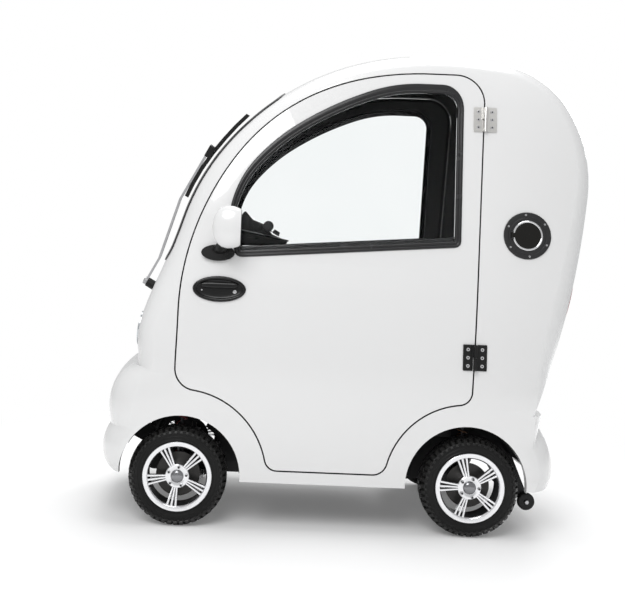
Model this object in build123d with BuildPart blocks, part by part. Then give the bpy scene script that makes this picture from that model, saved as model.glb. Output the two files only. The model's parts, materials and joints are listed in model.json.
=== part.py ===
"""Enclosed four-wheel mobility scooter, full size, in millimetres.

X points forward, Y to the driver's left and Z up. The origin lies on the floor, midway along and
across the body. The moulded cabin is a hollow form: leaning side sections joined by one loft, with
the bulges of nose and tail added and the leaning side faces cut from a front view.
"""

import math
import os

from build123d import *

os.makedirs("parts", exist_ok=True)

# Body form
HALF_WIDTH = 372.0
WALL = 26.0  # whole thickness of the cabin wall and of a door
EDGE_R = 100.0  # rounding between the cabin side and the roof line
CROWN = 22.0  # how far the roof, nose and tail fall away towards the sides
LEAN = 5.5  # inward lean of the loft's sections, degrees
LEAN_ROOT = 640.0
SILL_Z = 158.5
BELLY_Y = 350.0  # half width of the side faces at FORM_BASE
WAIST_Z = 500.0
SHOULDER = (349.0, 880.0)
ROOF_TOP = (-300.0, 1648.0)
# Side outline forward and rearward from the roof top, as tangent arcs through (x, z)
ROOF_FRONT = [(-36, 1612.5), (236, 1486), (442, 1292), (575, 1035), (655, 815), (700, 690), (706, 560)]
ROOF_REAR = [(-543, 1628), (-781, 1464), (-847, 1151), (-794, 829), (-718, 560)]
FORM_BASE = 60.0
NOSE_BASE_X = 700.0
TAIL_BASE_X = -628.0
TAIL_NOTCH = [(-698, 562), (-629, 412), (-940, 412), (-940, 562)]
FORM_LENGTH = 2000.0
FORM_TOP = 1700.0
SECTION_TURNS = (0, 30, 60, 82)
SIDE_CUT = 4.0  # the loft is this much wider than the side faces that clip it

# Bulges of nose and tail: rows of (height, reach in x)
UPPER_NOSE = [(290, 782), (383, 803), (480, 776), (524, 728)]
LOWER_NOSE = [(168, 788), (232, 820), (300, 806), (352, 766)]
TAIL = [(163, -728), (241, -745), (340, -709), (412, -652)]
BULGE_HALF = 382.0
BULGE_CORNER = 150.0
BULGE_BOW = 26.0
BULGE_DEPTH = 330.0

# Wheels
WHEELBASE = 975.0
FRONT_X = 541.0
REAR_X = FRONT_X - WHEELBASE
TYRE_R = 165.0
TYRE_WIDTH = 84.0
WHEEL_Y = 310.0
RIM_R = 110.0
RIM_BORE_R = 97.0
SPOKES = 5
SPOKE_BAR = 7.0
SPOKE_SLOT = 7.0
HUB_R = 38.0
CAP_R = 21.0
AXLE_R = 12.0
RUNNING = 0.05
ARCH_R = TYRE_R + 37
FRONT_ARCH_X = FRONT_X - 6
REAR_ARCH_X = REAR_X + 17
ARCH_Z = 169.5

# Steering
KINGPIN_Y = WHEEL_Y - 40
KINGPIN_R = 11.0
STEER_ARM = 75.0
STEER_ARM_Y = KINGPIN_Y - 20
ARM_GAP = 5.0
RACK_Z = 145.0
RACK_R = 7.0

# Doors
DOOR_GAP = 5.0
DOOR_REAR_LOW = (-423.0, 444.0)
DOOR_REAR_HIGH = (-458.0, 1556.0)
DOOR_TOP_START = (-270.0, 1556.0)
DOOR_TOP = [(-52, 1532), (128, 1468), (375, 1260), (507, 1011), (557, 721), (559, 562)]
DOOR_SILL_Z = 202.0
FRONT_RING = 292.0
REAR_RING = 276.0
RING_CORNERS = [((244, 202), 40), ((-143, 202), 45), ((559, 461), 70), ((-423, 445), 42), ((-458, 1556), 95)]
LINING_GAP = 0.3
LINING = 4.0
LINING_SET_BACK = 12.0

# Door windows
WINDOW_BASE_FRONT = (374.0, 906.0)
WINDOW_BASE_REAR = (-375.0, 968.0)
WINDOW_TOP_REAR = (-382.0, 1507.0)
WINDOW_TOP_START = (-244.0, 1507.0)
WINDOW_TOP = [(-71, 1477), (179, 1351), (320, 1225), (395, 1065)]
WINDOW_CORNERS = [(WINDOW_BASE_FRONT, 20), (WINDOW_BASE_REAR, 16), (WINDOW_TOP_REAR, 68)]
SEAL_WIDTH = 17.0
SEAL_PROUD = 4.0
SEAL_BACK = 12.0
GLASS_FRONT = 2.0
GLASS = 5.0
FIT = 0.3

# Hinges: the doors turn about a leaning line near their rear edge
HINGE_LOW = (-431.0, 600.0)
HINGE_HIGH = (-459.0, 1404.0)
HINGE_STANDOFF = 10.5
HINGE_LEAF = (32.0, 86.0, 3.0)
HINGE_PIN_R = 5.0


def keep(builder, label):
    """Labels a finished piece and writes its STEP file, moved so that the body's middle is at x 0."""
    piece = Pos(MIDDLE_SHIFT, 0, 0) * builder.part
    piece.label = label
    export_step(piece, f"parts/{label}.step")


def keep_pair(builder, label):
    """Writes a left piece and its mirror image on the right."""
    keep(builder, f"{label}_left")
    with BuildPart() as right:
        mirror(builder.part, about=Plane.XZ)
    keep(right, f"{label}_right")


def arc_chain(start, points, tangent):
    """Tangent arcs from start through points; returns the last end."""
    for point in points:
        arc = TangentArc(start, point, tangent=tangent)
        start, tangent = arc @ 1, arc % 1
    return start


def section_plane(y, half):
    """Upright plane at y that leans towards the middle in proportion to y."""
    angle = math.radians(LEAN * y / half)
    up = Vector(0, -math.sin(angle), math.cos(angle))
    along = Vector(1, 0, 0)
    return Plane(origin=Vector(0, y, LEAN_ROOT) - up * LEAN_ROOT, x_dir=along, z_dir=along.cross(up))


def side_outline():
    """The closed side outline of the cabin form, in (x, z)."""
    nose_end = arc_chain(ROOF_TOP, ROOF_FRONT, (1, 0))
    tail_end = arc_chain(ROOF_TOP, ROOF_REAR, (-1, 0))
    Polyline(nose_end, (NOSE_BASE_X, FORM_BASE), (TAIL_BASE_X, FORM_BASE), tail_end)


def side_profile(inset):
    """Front view of the left side face: one long arc, then its tangent upwards, in (y, z)."""
    foot = (BELLY_Y - inset, FORM_BASE)
    flank = ThreePointArc(foot, (HALF_WIDTH - inset, WAIST_Z), (SHOULDER[0] - inset, SHOULDER[1]))
    slope = flank % 1
    top_y = SHOULDER[0] - inset + slope.X / slope.Y * (FORM_TOP - SHOULDER[1])
    Polyline(flank @ 1, (top_y, FORM_TOP), (0, FORM_TOP), (0, FORM_BASE), foot)


def bulge_section(height, reach, inset):
    """One level section of a nose or tail bulge."""
    side = math.copysign(1, reach)
    tip = reach - side * inset
    half = BULGE_HALF - inset
    shoulder = tip - side * BULGE_BOW
    back = reach - side * BULGE_DEPTH
    with BuildSketch(Plane.XY.offset(height)) as level:
        with BuildLine():
            ThreePointArc((shoulder, half), (tip, 0), (shoulder, -half))
            Polyline((shoulder, half), (back, half), (back, -half), (shoulder, -half))
        make_face()
        ends = vertices().sort_by(Axis.X)
        fillet(ends[-2:] if side > 0 else ends[:2], BULGE_CORNER - inset)
    return level.sketch.face()


def side_faces(inset):
    """Solid between the two leaning side faces, to clip each form with."""
    with BuildPart() as block:
        with BuildSketch(Plane.YZ.offset(-FORM_LENGTH / 2)):
            with BuildLine():
                side_profile(inset)
            make_face()
            mirror(about=Plane.YZ)
        extrude(amount=FORM_LENGTH)
    return block.part


def cabin_form(inset):
    """Solid form of the cabin without its bulges, the whole surface inset by the given depth."""
    half = HALF_WIDTH + SIDE_CUT - inset
    edge = EDGE_R - inset
    rows = [(0.0, 0.0)]
    for turn in SECTION_TURNS:
        y = half - edge + edge * math.sin(math.radians(turn))
        rows.append((y, CROWN * (y / half) ** 2 + edge * (1 - math.cos(math.radians(turn)))))
    with BuildPart() as form:
        for y, drop in [(-y, drop) for y, drop in rows[:0:-1]] + rows:
            with BuildSketch(section_plane(y, half)):
                with BuildLine():
                    side_outline()
                make_face()
                if abs(inset + drop) > 0.001:
                    offset(amount=-(inset + drop), kind=Kind.INTERSECTION)
        loft()
        add(side_faces(inset), mode=Mode.INTERSECT)
        with BuildSketch(Plane.XZ.offset(-FORM_LENGTH / 2)):
            with BuildLine():
                Polyline([(x + inset, z) for x, z in TAIL_NOTCH], close=True)
            make_face()
        extrude(amount=FORM_LENGTH, mode=Mode.SUBTRACT)
    return form.part


def bulge_form(table, inset):
    """Solid form of one nose or tail bulge, lofted upwards and clipped by the side faces."""
    levels = [height for height, reach in table]
    levels[0] -= inset * 1.5
    levels[-1] -= inset
    with BuildPart() as form:
        loft([bulge_section(level, reach, inset) for level, (height, reach) in zip(levels, table)])
        add(side_faces(inset), mode=Mode.INTERSECT)
    return form.part


def side_prism(outline, grow, near, far):
    """Solid cut across the left side from the outline, in (x, z), between two distances in y."""
    with BuildPart() as prism:
        with BuildSketch(Plane.XZ.offset(-near)):
            add(outline)
            if grow:
                offset(amount=grow)
        extrude(amount=near - far)
    return prism.part


# Door in side view: straight rear edge, domed top, and two rings round the wheels cut away
with BuildSketch() as door_outline:
    with BuildLine():
        Polyline(DOOR_TOP_START, DOOR_REAR_HIGH, DOOR_REAR_LOW, (DOOR_REAR_LOW[0], DOOR_SILL_Z))
        front_end = arc_chain(DOOR_TOP_START, DOOR_TOP, (1, 0))
        Polyline(front_end, (front_end.X, DOOR_SILL_Z), (DOOR_REAR_LOW[0], DOOR_SILL_Z))
    make_face()
    with Locations((FRONT_ARCH_X, ARCH_Z)):
        Circle(FRONT_RING, mode=Mode.SUBTRACT)
    with Locations((REAR_ARCH_X, ARCH_Z)):
        Circle(REAR_RING, mode=Mode.SUBTRACT)
    for spot, radius in RING_CORNERS:
        fillet(vertices().sort_by_distance((spot[0], spot[1], 0))[0], radius)

# Door window in side view
with BuildSketch() as window_outline:
    with BuildLine():
        Polyline(WINDOW_TOP_START, WINDOW_TOP_REAR, WINDOW_BASE_REAR, WINDOW_BASE_FRONT)
        front_end = arc_chain(WINDOW_TOP_START, WINDOW_TOP, (1, 0))
        Line(front_end, WINDOW_BASE_FRONT)
    make_face()
    for spot, radius in WINDOW_CORNERS:
        fillet(vertices().sort_by_distance((spot[0], spot[1], 0))[0], radius)


# Windscreen and rear window openings: rounded trapezia seen along a slanted direction
SCREEN_SLANT = 33.0
SCREEN_ORIGIN = (480.0, 0.0, 1180.0)
SCREEN = ((-330, 285), (395, 232))  # (height in the slanted plane, half width) at foot and head
SCREEN_CORNER = 60.0
BACK_SLANT = -4.0
BACK_ORIGIN = (-832.0, 0.0, 1240.0)
BACK_WINDOW = ((-190, 215), (190, 195))
BACK_CORNER = 50.0


def screen_prism(origin, slant, table, corner, inward, grow):
    """Solid of a screen opening, driven into the body from outside, forward (1) or rear (-1)."""
    turn = math.radians(slant)
    out = Vector(math.cos(turn) * inward, 0, math.sin(turn) * inward)
    if inward < 0:
        out = Vector(-math.cos(turn), 0, math.sin(-turn))
    plane = Plane(origin=Vector(*origin) + out * 300, x_dir=(0, inward, 0), z_dir=out)
    (low, low_half), (high, high_half) = table
    with BuildPart() as prism:
        with BuildSketch(plane):
            with BuildLine():
                Polyline((-low_half, low), (low_half, low), (high_half, high), (-high_half, high), close=True)
            make_face()
            fillet(vertices(), corner)
            if grow:
                offset(amount=grow)
        extrude(amount=-560)
    return prism.part


def windscreen_prism(grow):
    return screen_prism(SCREEN_ORIGIN, SCREEN_SLANT, SCREEN, SCREEN_CORNER, 1, grow)


def back_prism(grow):
    return screen_prism(BACK_ORIGIN, BACK_SLANT, BACK_WINDOW, BACK_CORNER, -1, grow)


def skin(outer, inner):
    """The layer of the cabin form between two depths."""
    with BuildPart() as layer:
        add(outer)
        add(inner, mode=Mode.SUBTRACT)
    return layer.part


outer_form = cabin_form(0)
inner_form = cabin_form(WALL)
wall_skin = skin(outer_form, inner_form)
seal_skin = skin(cabin_form(-SEAL_PROUD), cabin_form(SEAL_BACK))
glass_skin = skin(cabin_form(GLASS_FRONT), cabin_form(GLASS_FRONT + GLASS))
lining_form = cabin_form(WALL + LINING_GAP)
inside_form = cabin_form(WALL + LINING_GAP + LINING)
lining_skin = skin(lining_form, inside_form)
bulges = [bulge_form(table, 0) for table in (UPPER_NOSE, LOWER_NOSE, TAIL)]
MIDDLE_SHIFT = -(bulges[1].bounding_box().max.X + outer_form.bounding_box().min.X) / 2
print("shift along x:", round(MIDDLE_SHIFT, 3))
SIDE_NEAR = 150.0
SIDE_FAR = 450.0
door_left = side_prism(door_outline.sketch, 0, SIDE_NEAR, SIDE_FAR)
door_opening = side_prism(door_outline.sketch, DOOR_GAP, SIDE_NEAR, SIDE_FAR)

# Lamps: lenses set flush in the nose and the tail, as (y, z, width, height)
HEADLAMP = (205.0, 640.0, 84.0, 118.0)
TAIL_LAMP = (235.0, 780.0, 52.0, 150.0)


def lamp_prisms(lamp, near, far, grow):
    """Two solids along X through which a pair of lamps is set."""
    y, z, width, height = lamp
    with BuildPart() as prisms:
        with BuildSketch(Plane.YZ.offset(near)):
            with Locations((y, z), (-y, z)):
                Ellipse(width / 2 + grow, height / 2 + grow)
        extrude(amount=far - near)
    return prisms.part


with BuildPart() as headlamps:
    add(seal_skin)
    add(lamp_prisms(HEADLAMP, 400, 900, -FIT), mode=Mode.INTERSECT)
keep(headlamps, "headlamps")

with BuildPart() as tail_lamps:
    add(seal_skin)
    add(lamp_prisms(TAIL_LAMP, -900, -550, -FIT), mode=Mode.INTERSECT)
keep(tail_lamps, "tail_lamps")

# Body shell: one moulding, hollow, with door, screen and wheel openings
with BuildPart() as body_shell:
    add(outer_form)
    add(bulges)
    add(inner_form, mode=Mode.SUBTRACT)
    for table in (UPPER_NOSE, LOWER_NOSE, TAIL):
        add(bulge_form(table, WALL), mode=Mode.SUBTRACT)
    add(door_opening, mode=Mode.SUBTRACT)
    add(mirror(door_opening, about=Plane.XZ), mode=Mode.SUBTRACT)
    add(windscreen_prism(0), mode=Mode.SUBTRACT)
    add(back_prism(0), mode=Mode.SUBTRACT)
    add(lamp_prisms(HEADLAMP, 400, 900, 0), mode=Mode.SUBTRACT)
    add(lamp_prisms(TAIL_LAMP, -900, -550, 0), mode=Mode.SUBTRACT)
    with BuildSketch(Plane.XZ.offset(-SIDE_FAR)):
        for arch_x in (FRONT_ARCH_X, REAR_ARCH_X):
            with Locations((arch_x, ARCH_Z)):
                Circle(ARCH_R)
    extrude(amount=2 * SIDE_FAR, mode=Mode.SUBTRACT)
    with BuildSketch(Plane.XY):
        Rectangle(FORM_LENGTH, 2 * SIDE_FAR)
    extrude(amount=SILL_Z, mode=Mode.SUBTRACT)
keep(body_shell, "body_shell")

# Door panels, with the window cut
for_window = side_prism(window_outline.sketch, 0, SIDE_NEAR, SIDE_FAR)
with BuildPart() as door_panel:
    add(wall_skin)
    add(door_left, mode=Mode.INTERSECT)
    add(for_window, mode=Mode.SUBTRACT)
keep_pair(door_panel, "door_panel")

with BuildPart() as door_seal:
    add(seal_skin)
    add(side_prism(window_outline.sketch, -FIT, SIDE_NEAR, SIDE_FAR), mode=Mode.INTERSECT)
    add(side_prism(window_outline.sketch, -SEAL_WIDTH, SIDE_NEAR, SIDE_FAR), mode=Mode.SUBTRACT)
keep_pair(door_seal, "door_seal")

with BuildPart() as door_glass:
    add(glass_skin)
    add(side_prism(window_outline.sketch, -SEAL_WIDTH - FIT, SIDE_NEAR, SIDE_FAR), mode=Mode.INTERSECT)
keep_pair(door_glass, "door_glass")

with BuildPart() as door_lining:
    add(lining_skin)
    add(side_prism(door_outline.sketch, -LINING_SET_BACK, SIDE_NEAR, SIDE_FAR), mode=Mode.INTERSECT)
    add(for_window, mode=Mode.SUBTRACT)
keep_pair(door_lining, "door_lining")

LINING_FLOOR_Z = 560.0
with BuildPart() as cabin_lining:
    add(lining_skin)
    add(door_opening, mode=Mode.SUBTRACT)
    add(mirror(door_opening, about=Plane.XZ), mode=Mode.SUBTRACT)
    add(windscreen_prism(8), mode=Mode.SUBTRACT)
    add(back_prism(8), mode=Mode.SUBTRACT)
    with BuildSketch(Plane.XY):
        Rectangle(FORM_LENGTH, 2 * SIDE_FAR)
    extrude(amount=LINING_FLOOR_Z, mode=Mode.SUBTRACT)
keep(cabin_lining, "cabin_lining")

with BuildPart() as screen_seals:
    add(seal_skin)
    with BuildPart(mode=Mode.PRIVATE) as rings:
        add(windscreen_prism(-FIT))
        add(windscreen_prism(-SEAL_WIDTH), mode=Mode.SUBTRACT)
        add(back_prism(-FIT))
        add(back_prism(-SEAL_WIDTH), mode=Mode.SUBTRACT)
    add(rings.part, mode=Mode.INTERSECT)
keep(screen_seals, "screen_seals")

with BuildPart() as screens:
    add(glass_skin)
    with BuildPart(mode=Mode.PRIVATE) as panes:
        add(windscreen_prism(-SEAL_WIDTH - FIT))
        add(back_prism(-SEAL_WIDTH - FIT))
    add(panes.part, mode=Mode.INTERSECT)
keep(screens, "screens")

# Cabin tub: one folded sheet from the toe board over the floor and up to the seat box
TUB = 6.0
TUB_HALF = 322.0
TUB_TRAIL = [(690, 470), (430, 410), (330, 185), (-110, 185), (-120, 492), (-690, 492)]
with BuildPart() as cabin_tub:
    with BuildSketch(Plane.XZ.offset(-TUB_HALF)):
        with BuildLine():
            trail = Polyline(*TUB_TRAIL)
            offset(trail, amount=TUB, side=Side.RIGHT)
        make_face()
    extrude(amount=2 * TUB_HALF)
    add(lining_form, mode=Mode.INTERSECT)
keep(cabin_tub, "cabin_tub")

# Wheels
HUB_LENGTH = 50.0
HUB_SHIFT = 9.0
TYRE_SHOULDER = 14.0


def mounted(builder, label, x, y, turn=0, roll=0):
    """Writes a wheel piece, modelled about the Y axis at the origin, in its place on the vehicle."""
    with BuildPart() as placed:
        with Locations(Location((x, y, TYRE_R), (0, -roll, turn))):
            add(builder.part)
    keep(placed, label)


# Each wheel: name, place, which way it faces and how far it has rolled from a spoke straight ahead
WHEELS = [
    ("front_left", FRONT_X, WHEEL_Y, 0, 63),
    ("front_right", FRONT_X, -WHEEL_Y, 180, 63),
    ("rear_left", REAR_X, WHEEL_Y, 0, 2),
    ("rear_right", REAR_X, -WHEEL_Y, 180, 2),
]

# Tyre: one revolved casing with a round shoulder on each side
with BuildPart() as tyre:
    with BuildSketch(Plane.XY):
        with BuildLine():
            half = TYRE_WIDTH / 2
            Polyline(
                (RIM_R, -half + 10),
                (RIM_R + 7, -half + 6),
                (RIM_R + 22, -half),
                (TYRE_R - 22, -half),
                (TYRE_R - 5, -half + TYRE_SHOULDER),
                (TYRE_R, -half + 2 * TYRE_SHOULDER),
                (TYRE_R, half - 2 * TYRE_SHOULDER),
                (TYRE_R - 5, half - TYRE_SHOULDER),
                (TYRE_R - 22, half),
                (RIM_R + 22, half),
                (RIM_R + 7, half - 6),
                (RIM_R, half - 10),
                close=True,
            )
        make_face()
    revolve(axis=Axis.Y)

# Rim: barrel with two flanges, five spokes of three bars each, hub and domed cap
SPOKE_WIDTH = 3 * SPOKE_BAR + 2 * SPOKE_SLOT
FACE_Y = TYRE_WIDTH / 2 - 6
with BuildPart() as rim:
    with BuildSketch(Plane.XY):
        with BuildLine():
            half = TYRE_WIDTH / 2
            Polyline(
                (RIM_BORE_R, -half + 2),
                (RIM_R + 5, -half - 1),
                (RIM_R + 5, -half + 5),
                (RIM_R - FIT, -half + 9),
                (RIM_R - FIT, half - 9),
                (RIM_R + 5, half - 5),
                (RIM_R + 5, half + 1),
                (RIM_BORE_R, half - 2),
                close=True,
            )
        make_face()
        with Locations(((AXLE_R + RUNNING + HUB_R) / 2, HUB_SHIFT)):
            Rectangle(HUB_R - AXLE_R - RUNNING, HUB_LENGTH)
    revolve(axis=Axis.Y)
    with BuildSketch(Plane.XZ.offset(-FACE_Y)):
        with PolarLocations(0, SPOKES, start_angle=0):
            with Locations(((HUB_R - 6 + RIM_BORE_R + 3) / 2, 0)):
                Rectangle(RIM_BORE_R + 3 - HUB_R + 6, SPOKE_WIDTH)
        with PolarLocations(0, SPOKES, start_angle=0):
            for shift in (-1, 1):
                with Locations(((HUB_R + 4 + RIM_BORE_R - 3) / 2, shift * (SPOKE_BAR + SPOKE_SLOT) / 2)):
                    Rectangle(RIM_BORE_R - 7 - HUB_R, SPOKE_SLOT, mode=Mode.SUBTRACT)
    extrude(amount=14)
    with BuildSketch(Plane.XY):
        with BuildLine():
            Polyline((0, FACE_Y - 8), (0, FACE_Y + 8))
            ThreePointArc((0, FACE_Y + 8), (CAP_R * 0.6, FACE_Y + 5), (CAP_R, FACE_Y - 2))
            Polyline((CAP_R, FACE_Y - 2), (CAP_R, FACE_Y - 8), (0, FACE_Y - 8))
        make_face()
    revolve(axis=Axis.Y)

for label, x, y, turn, roll in WHEELS:
    mounted(tyre, f"tyre_{label}", x, y, turn)
    mounted(rim, f"rim_{label}", x, y, turn, roll)

AXLE_END = TYRE_WIDTH / 2 - 15

# Front knuckles: kingpin boss with its stub axle and steering arm
PIN_LOW_Z = 118.0
PIN_HIGH_Z = 212.0
BOSS_HALF = 33.0
ARM_PLATE = 10.0
with BuildPart() as knuckle:
    with BuildSketch(Plane.XY.offset(TYRE_R - BOSS_HALF)):
        with Locations((FRONT_X, KINGPIN_Y)):
            Circle(KINGPIN_R + 7)
    extrude(amount=2 * BOSS_HALF)
    with BuildSketch(Plane.XZ.offset(-KINGPIN_Y)):
        with Locations((FRONT_X, TYRE_R)):
            Circle(AXLE_R)
    extrude(amount=KINGPIN_Y - WHEEL_Y - AXLE_END)
    with BuildSketch(Plane.XY.offset(RACK_Z + RACK_R + ARM_GAP)):
        with Locations((FRONT_X - STEER_ARM / 2, (KINGPIN_Y + STEER_ARM_Y) / 2)):
            reach = math.hypot(STEER_ARM, KINGPIN_Y - STEER_ARM_Y)
            turn = math.degrees(math.atan2(KINGPIN_Y - STEER_ARM_Y, STEER_ARM))
            SlotCenterToCenter(reach, 22, rotation=turn)
    extrude(amount=ARM_PLATE)
    with BuildSketch(Plane.XY):
        with Locations((FRONT_X, KINGPIN_Y)):
            Circle(KINGPIN_R - 3 + RUNNING)
    extrude(amount=2 * TYRE_R, mode=Mode.SUBTRACT)
keep_pair(knuckle, "knuckle")

# Rack bar that ties the two steering arms, sliding in its housing between the rails
RAIL_Y = 110.0
RAIL_WIDTH = 40.0
RAIL_INNER = RAIL_Y - RAIL_WIDTH / 2
RAIL_OUTER = RAIL_Y + RAIL_WIDTH / 2
RAIL_HEIGHT = 50.0
RAIL_TOP = TUB_TRAIL[2][1] - FIT
RACK_X = FRONT_X - STEER_ARM
RACK_HALF = STEER_ARM_Y + 6
with BuildPart() as tie_rod:
    with BuildSketch(Plane.XZ.offset(-RACK_HALF)):
        with Locations((RACK_X, RACK_Z)):
            Circle(RACK_R)
    extrude(amount=2 * RACK_HALF)
keep(tie_rod, "tie_rod")

with BuildPart() as rack_housing:
    with BuildSketch(Plane.XZ.offset(-RAIL_INNER)):
        with Locations((RACK_X, RACK_Z)):
            Circle(RACK_R + 10)
            Circle(RACK_R + RUNNING, mode=Mode.SUBTRACT)
    extrude(amount=2 * RAIL_INNER)
keep(rack_housing, "rack_housing")

# Chassis: two rails that kick up over the rear axle, cross members and damper towers
KICK_Z = 245.0
RAIL_TRAIL = [(640, RAIL_TOP - 25), (-280, RAIL_TOP - 25), (-335, KICK_Z + 25), (-600, KICK_Z + 25)]
CROSS_X = (610.0, 300.0, -180.0, -575.0)
TOWER_TOP = 400.0
FRONT_TOWER_Y = 138.0
REAR_TOWER_Y = 184.0
DAMPER_Y = 212.0
DAMPER_R = 20.0
TOWER = 8.0
with BuildPart() as chassis_frame:
    for rail_y in (-RAIL_INNER, RAIL_OUTER):
        with BuildSketch(Plane.XZ.offset(-rail_y)):
            with BuildLine():
                trail = Polyline(*RAIL_TRAIL)
                offset(trail, amount=RAIL_HEIGHT / 2, side=Side.BOTH)
            make_face()
        extrude(amount=RAIL_WIDTH)
    for cross_x in CROSS_X:
        low = KICK_Z if cross_x < RAIL_TRAIL[2][0] else RAIL_TOP - RAIL_HEIGHT
        with Locations((cross_x, 0, low + RAIL_HEIGHT / 2)):
            Box(40, 2 * RAIL_Y, RAIL_HEIGHT - 10)
    for tower_x, tower_y, foot_z in ((FRONT_X, FRONT_TOWER_Y, RAIL_TOP - 30), (REAR_X, REAR_TOWER_Y, KICK_Z + 5)):
        for side in (-1, 1):
            with Locations((tower_x, side * (tower_y - TOWER / 2), (foot_z + TOWER_TOP) / 2)):
                Box(64, TOWER, TOWER_TOP - foot_z)
            cap_y = tower_y + (DAMPER_Y + DAMPER_R - tower_y) / 2 - TOWER / 2
            with Locations((tower_x, side * cap_y, TOWER_TOP - TOWER / 2)):
                Box(64, DAMPER_Y + DAMPER_R - tower_y + TOWER, TOWER)
            with Locations((tower_x, side * (RAIL_Y + tower_y) / 2, foot_z + 15)):
                Box(64, tower_y - RAIL_Y, 30)
    with BuildSketch(Plane.XZ.offset(-SIDE_FAR)):
        with Locations((RACK_X, RACK_Z)):
            Circle(RACK_R + DOOR_GAP)
    extrude(amount=2 * SIDE_FAR, mode=Mode.SUBTRACT)
keep(chassis_frame, "chassis_frame")

# Battery pack: one plain block on the raised rails, inside the seat box
BATTERY = (270.0, 340.0, 180.0)
BATTERY_X = -450.0
with BuildPart() as battery_pack:
    with Locations((BATTERY_X, 0, KICK_Z + RAIL_HEIGHT + FIT + BATTERY[2] / 2)):
        Box(*BATTERY)
keep(battery_pack, "battery_pack")

# Transaxle: axle tube, gear housing and the motor ahead of it
AXLE_TUBE_R = 28.0
AXLE_TUBE_END = WHEEL_Y - 55
MOTOR_R = 52.0
with BuildPart() as transaxle:
    with BuildSketch(Plane.XZ.offset(-AXLE_TUBE_END)):
        with Locations((REAR_X, TYRE_R)):
            Circle(AXLE_TUBE_R)
    extrude(amount=2 * AXLE_TUBE_END)
    with BuildSketch(Plane.XZ.offset(-WHEEL_Y - AXLE_END)):
        with Locations((REAR_X, TYRE_R)):
            Circle(AXLE_R)
    extrude(amount=2 * (WHEEL_Y + AXLE_END))
    with Locations((REAR_X, 0, TYRE_R)):
        Cylinder(68, 130, rotation=(90, 0, 0))
    with Locations((REAR_X + 125, 20, TYRE_R)):
        Cylinder(MOTOR_R, 200, rotation=(0, 90, 0))
    for side in (-1, 1):
        with Locations((REAR_X, side * DAMPER_Y, TYRE_R + AXLE_TUBE_R)):
            Box(50, 44, 16)
keep(transaxle, "transaxle")

# Front suspension arms with the kingpins they carry
with BuildPart() as front_arms:
    for side in (-1, 1):
        for low, clear_x, foot_y in ((PIN_LOW_Z, 0, RAIL_INNER), (PIN_HIGH_Z - ARM_PLATE, 56, FRONT_TOWER_Y)):
            with BuildSketch(Plane.XY.offset(low)):
                with BuildLine():
                    Polyline(
                        (FRONT_X - 48, side * foot_y),
                        (FRONT_X + 48, side * foot_y),
                        (FRONT_X + 44, side * (DAMPER_Y + 30)),
                        (FRONT_X + 14, side * KINGPIN_Y),
                        (FRONT_X - 14, side * KINGPIN_Y),
                        (FRONT_X - 44, side * (DAMPER_Y + 30)),
                        close=True,
                    )
                make_face()
                with Locations((FRONT_X, side * KINGPIN_Y)):
                    Circle(14)
                if clear_x:
                    with Locations((FRONT_X, side * (DAMPER_Y - 4))):
                        Rectangle(clear_x, clear_x, mode=Mode.SUBTRACT)
            extrude(amount=ARM_PLATE)
        with BuildSketch(Plane.XY.offset(PIN_LOW_Z)):
            with Locations((FRONT_X, side * KINGPIN_Y)):
                Circle(KINGPIN_R - 3)
        extrude(amount=PIN_HIGH_Z - PIN_LOW_Z)
keep(front_arms, "front_arms")


def damper_pair(label, x, foot_z):
    """Two dampers with their springs as one corrugated outline, standing between arm and tower."""
    top = TOWER_TOP - TOWER - FIT
    foot = foot_z + FIT
    coils = 6
    pitch = (top - foot - 40) / coils
    with BuildPart() as dampers:
        for side in (-1, 1):
            with BuildSketch(Plane(origin=(x, side * DAMPER_Y, 0), x_dir=(1, 0, 0), z_dir=(0, -1, 0))):
                with BuildLine():
                    points = [(0, foot), (12, foot), (12, foot + 20)]
                    for turn in range(coils):
                        base = foot + 20 + turn * pitch
                        points += [(DAMPER_R, base + pitch * 0.2), (DAMPER_R, base + pitch * 0.6), (13, base + pitch * 0.8)]
                    points += [(12, top - 20), (12, top), (0, top)]
                    Polyline(*points, close=True)
                make_face()
            revolve(axis=Axis((x, side * DAMPER_Y, 0), (0, 0, 1)))
    keep(dampers, label)


damper_pair("front_dampers", FRONT_X, PIN_LOW_Z + ARM_PLATE)
damper_pair("rear_dampers", REAR_X, TYRE_R + AXLE_TUBE_R + 8)

# Anti-tip wheels behind the rear axle, on brackets from the raised rails
ANTITIP = (-671.0, 182.0, 86.0)
ANTITIP_R = 30.0
ANTITIP_WIDTH = 20.0
ANTITIP_PIN_R = 6.0
with BuildPart() as antitip_wheel:
    with BuildSketch(Plane.XZ.offset(-ANTITIP[1] + ANTITIP_WIDTH / 2)):
        with Locations((ANTITIP[0], ANTITIP[2])):
            Circle(ANTITIP_R)
            Circle(ANTITIP_PIN_R + RUNNING, mode=Mode.SUBTRACT)
    extrude(amount=-ANTITIP_WIDTH)
    chamfer(edges().filter_by(GeomType.CIRCLE).group_by(SortBy.RADIUS)[-1], 4)
keep_pair(antitip_wheel, "antitip_wheel")

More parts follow.
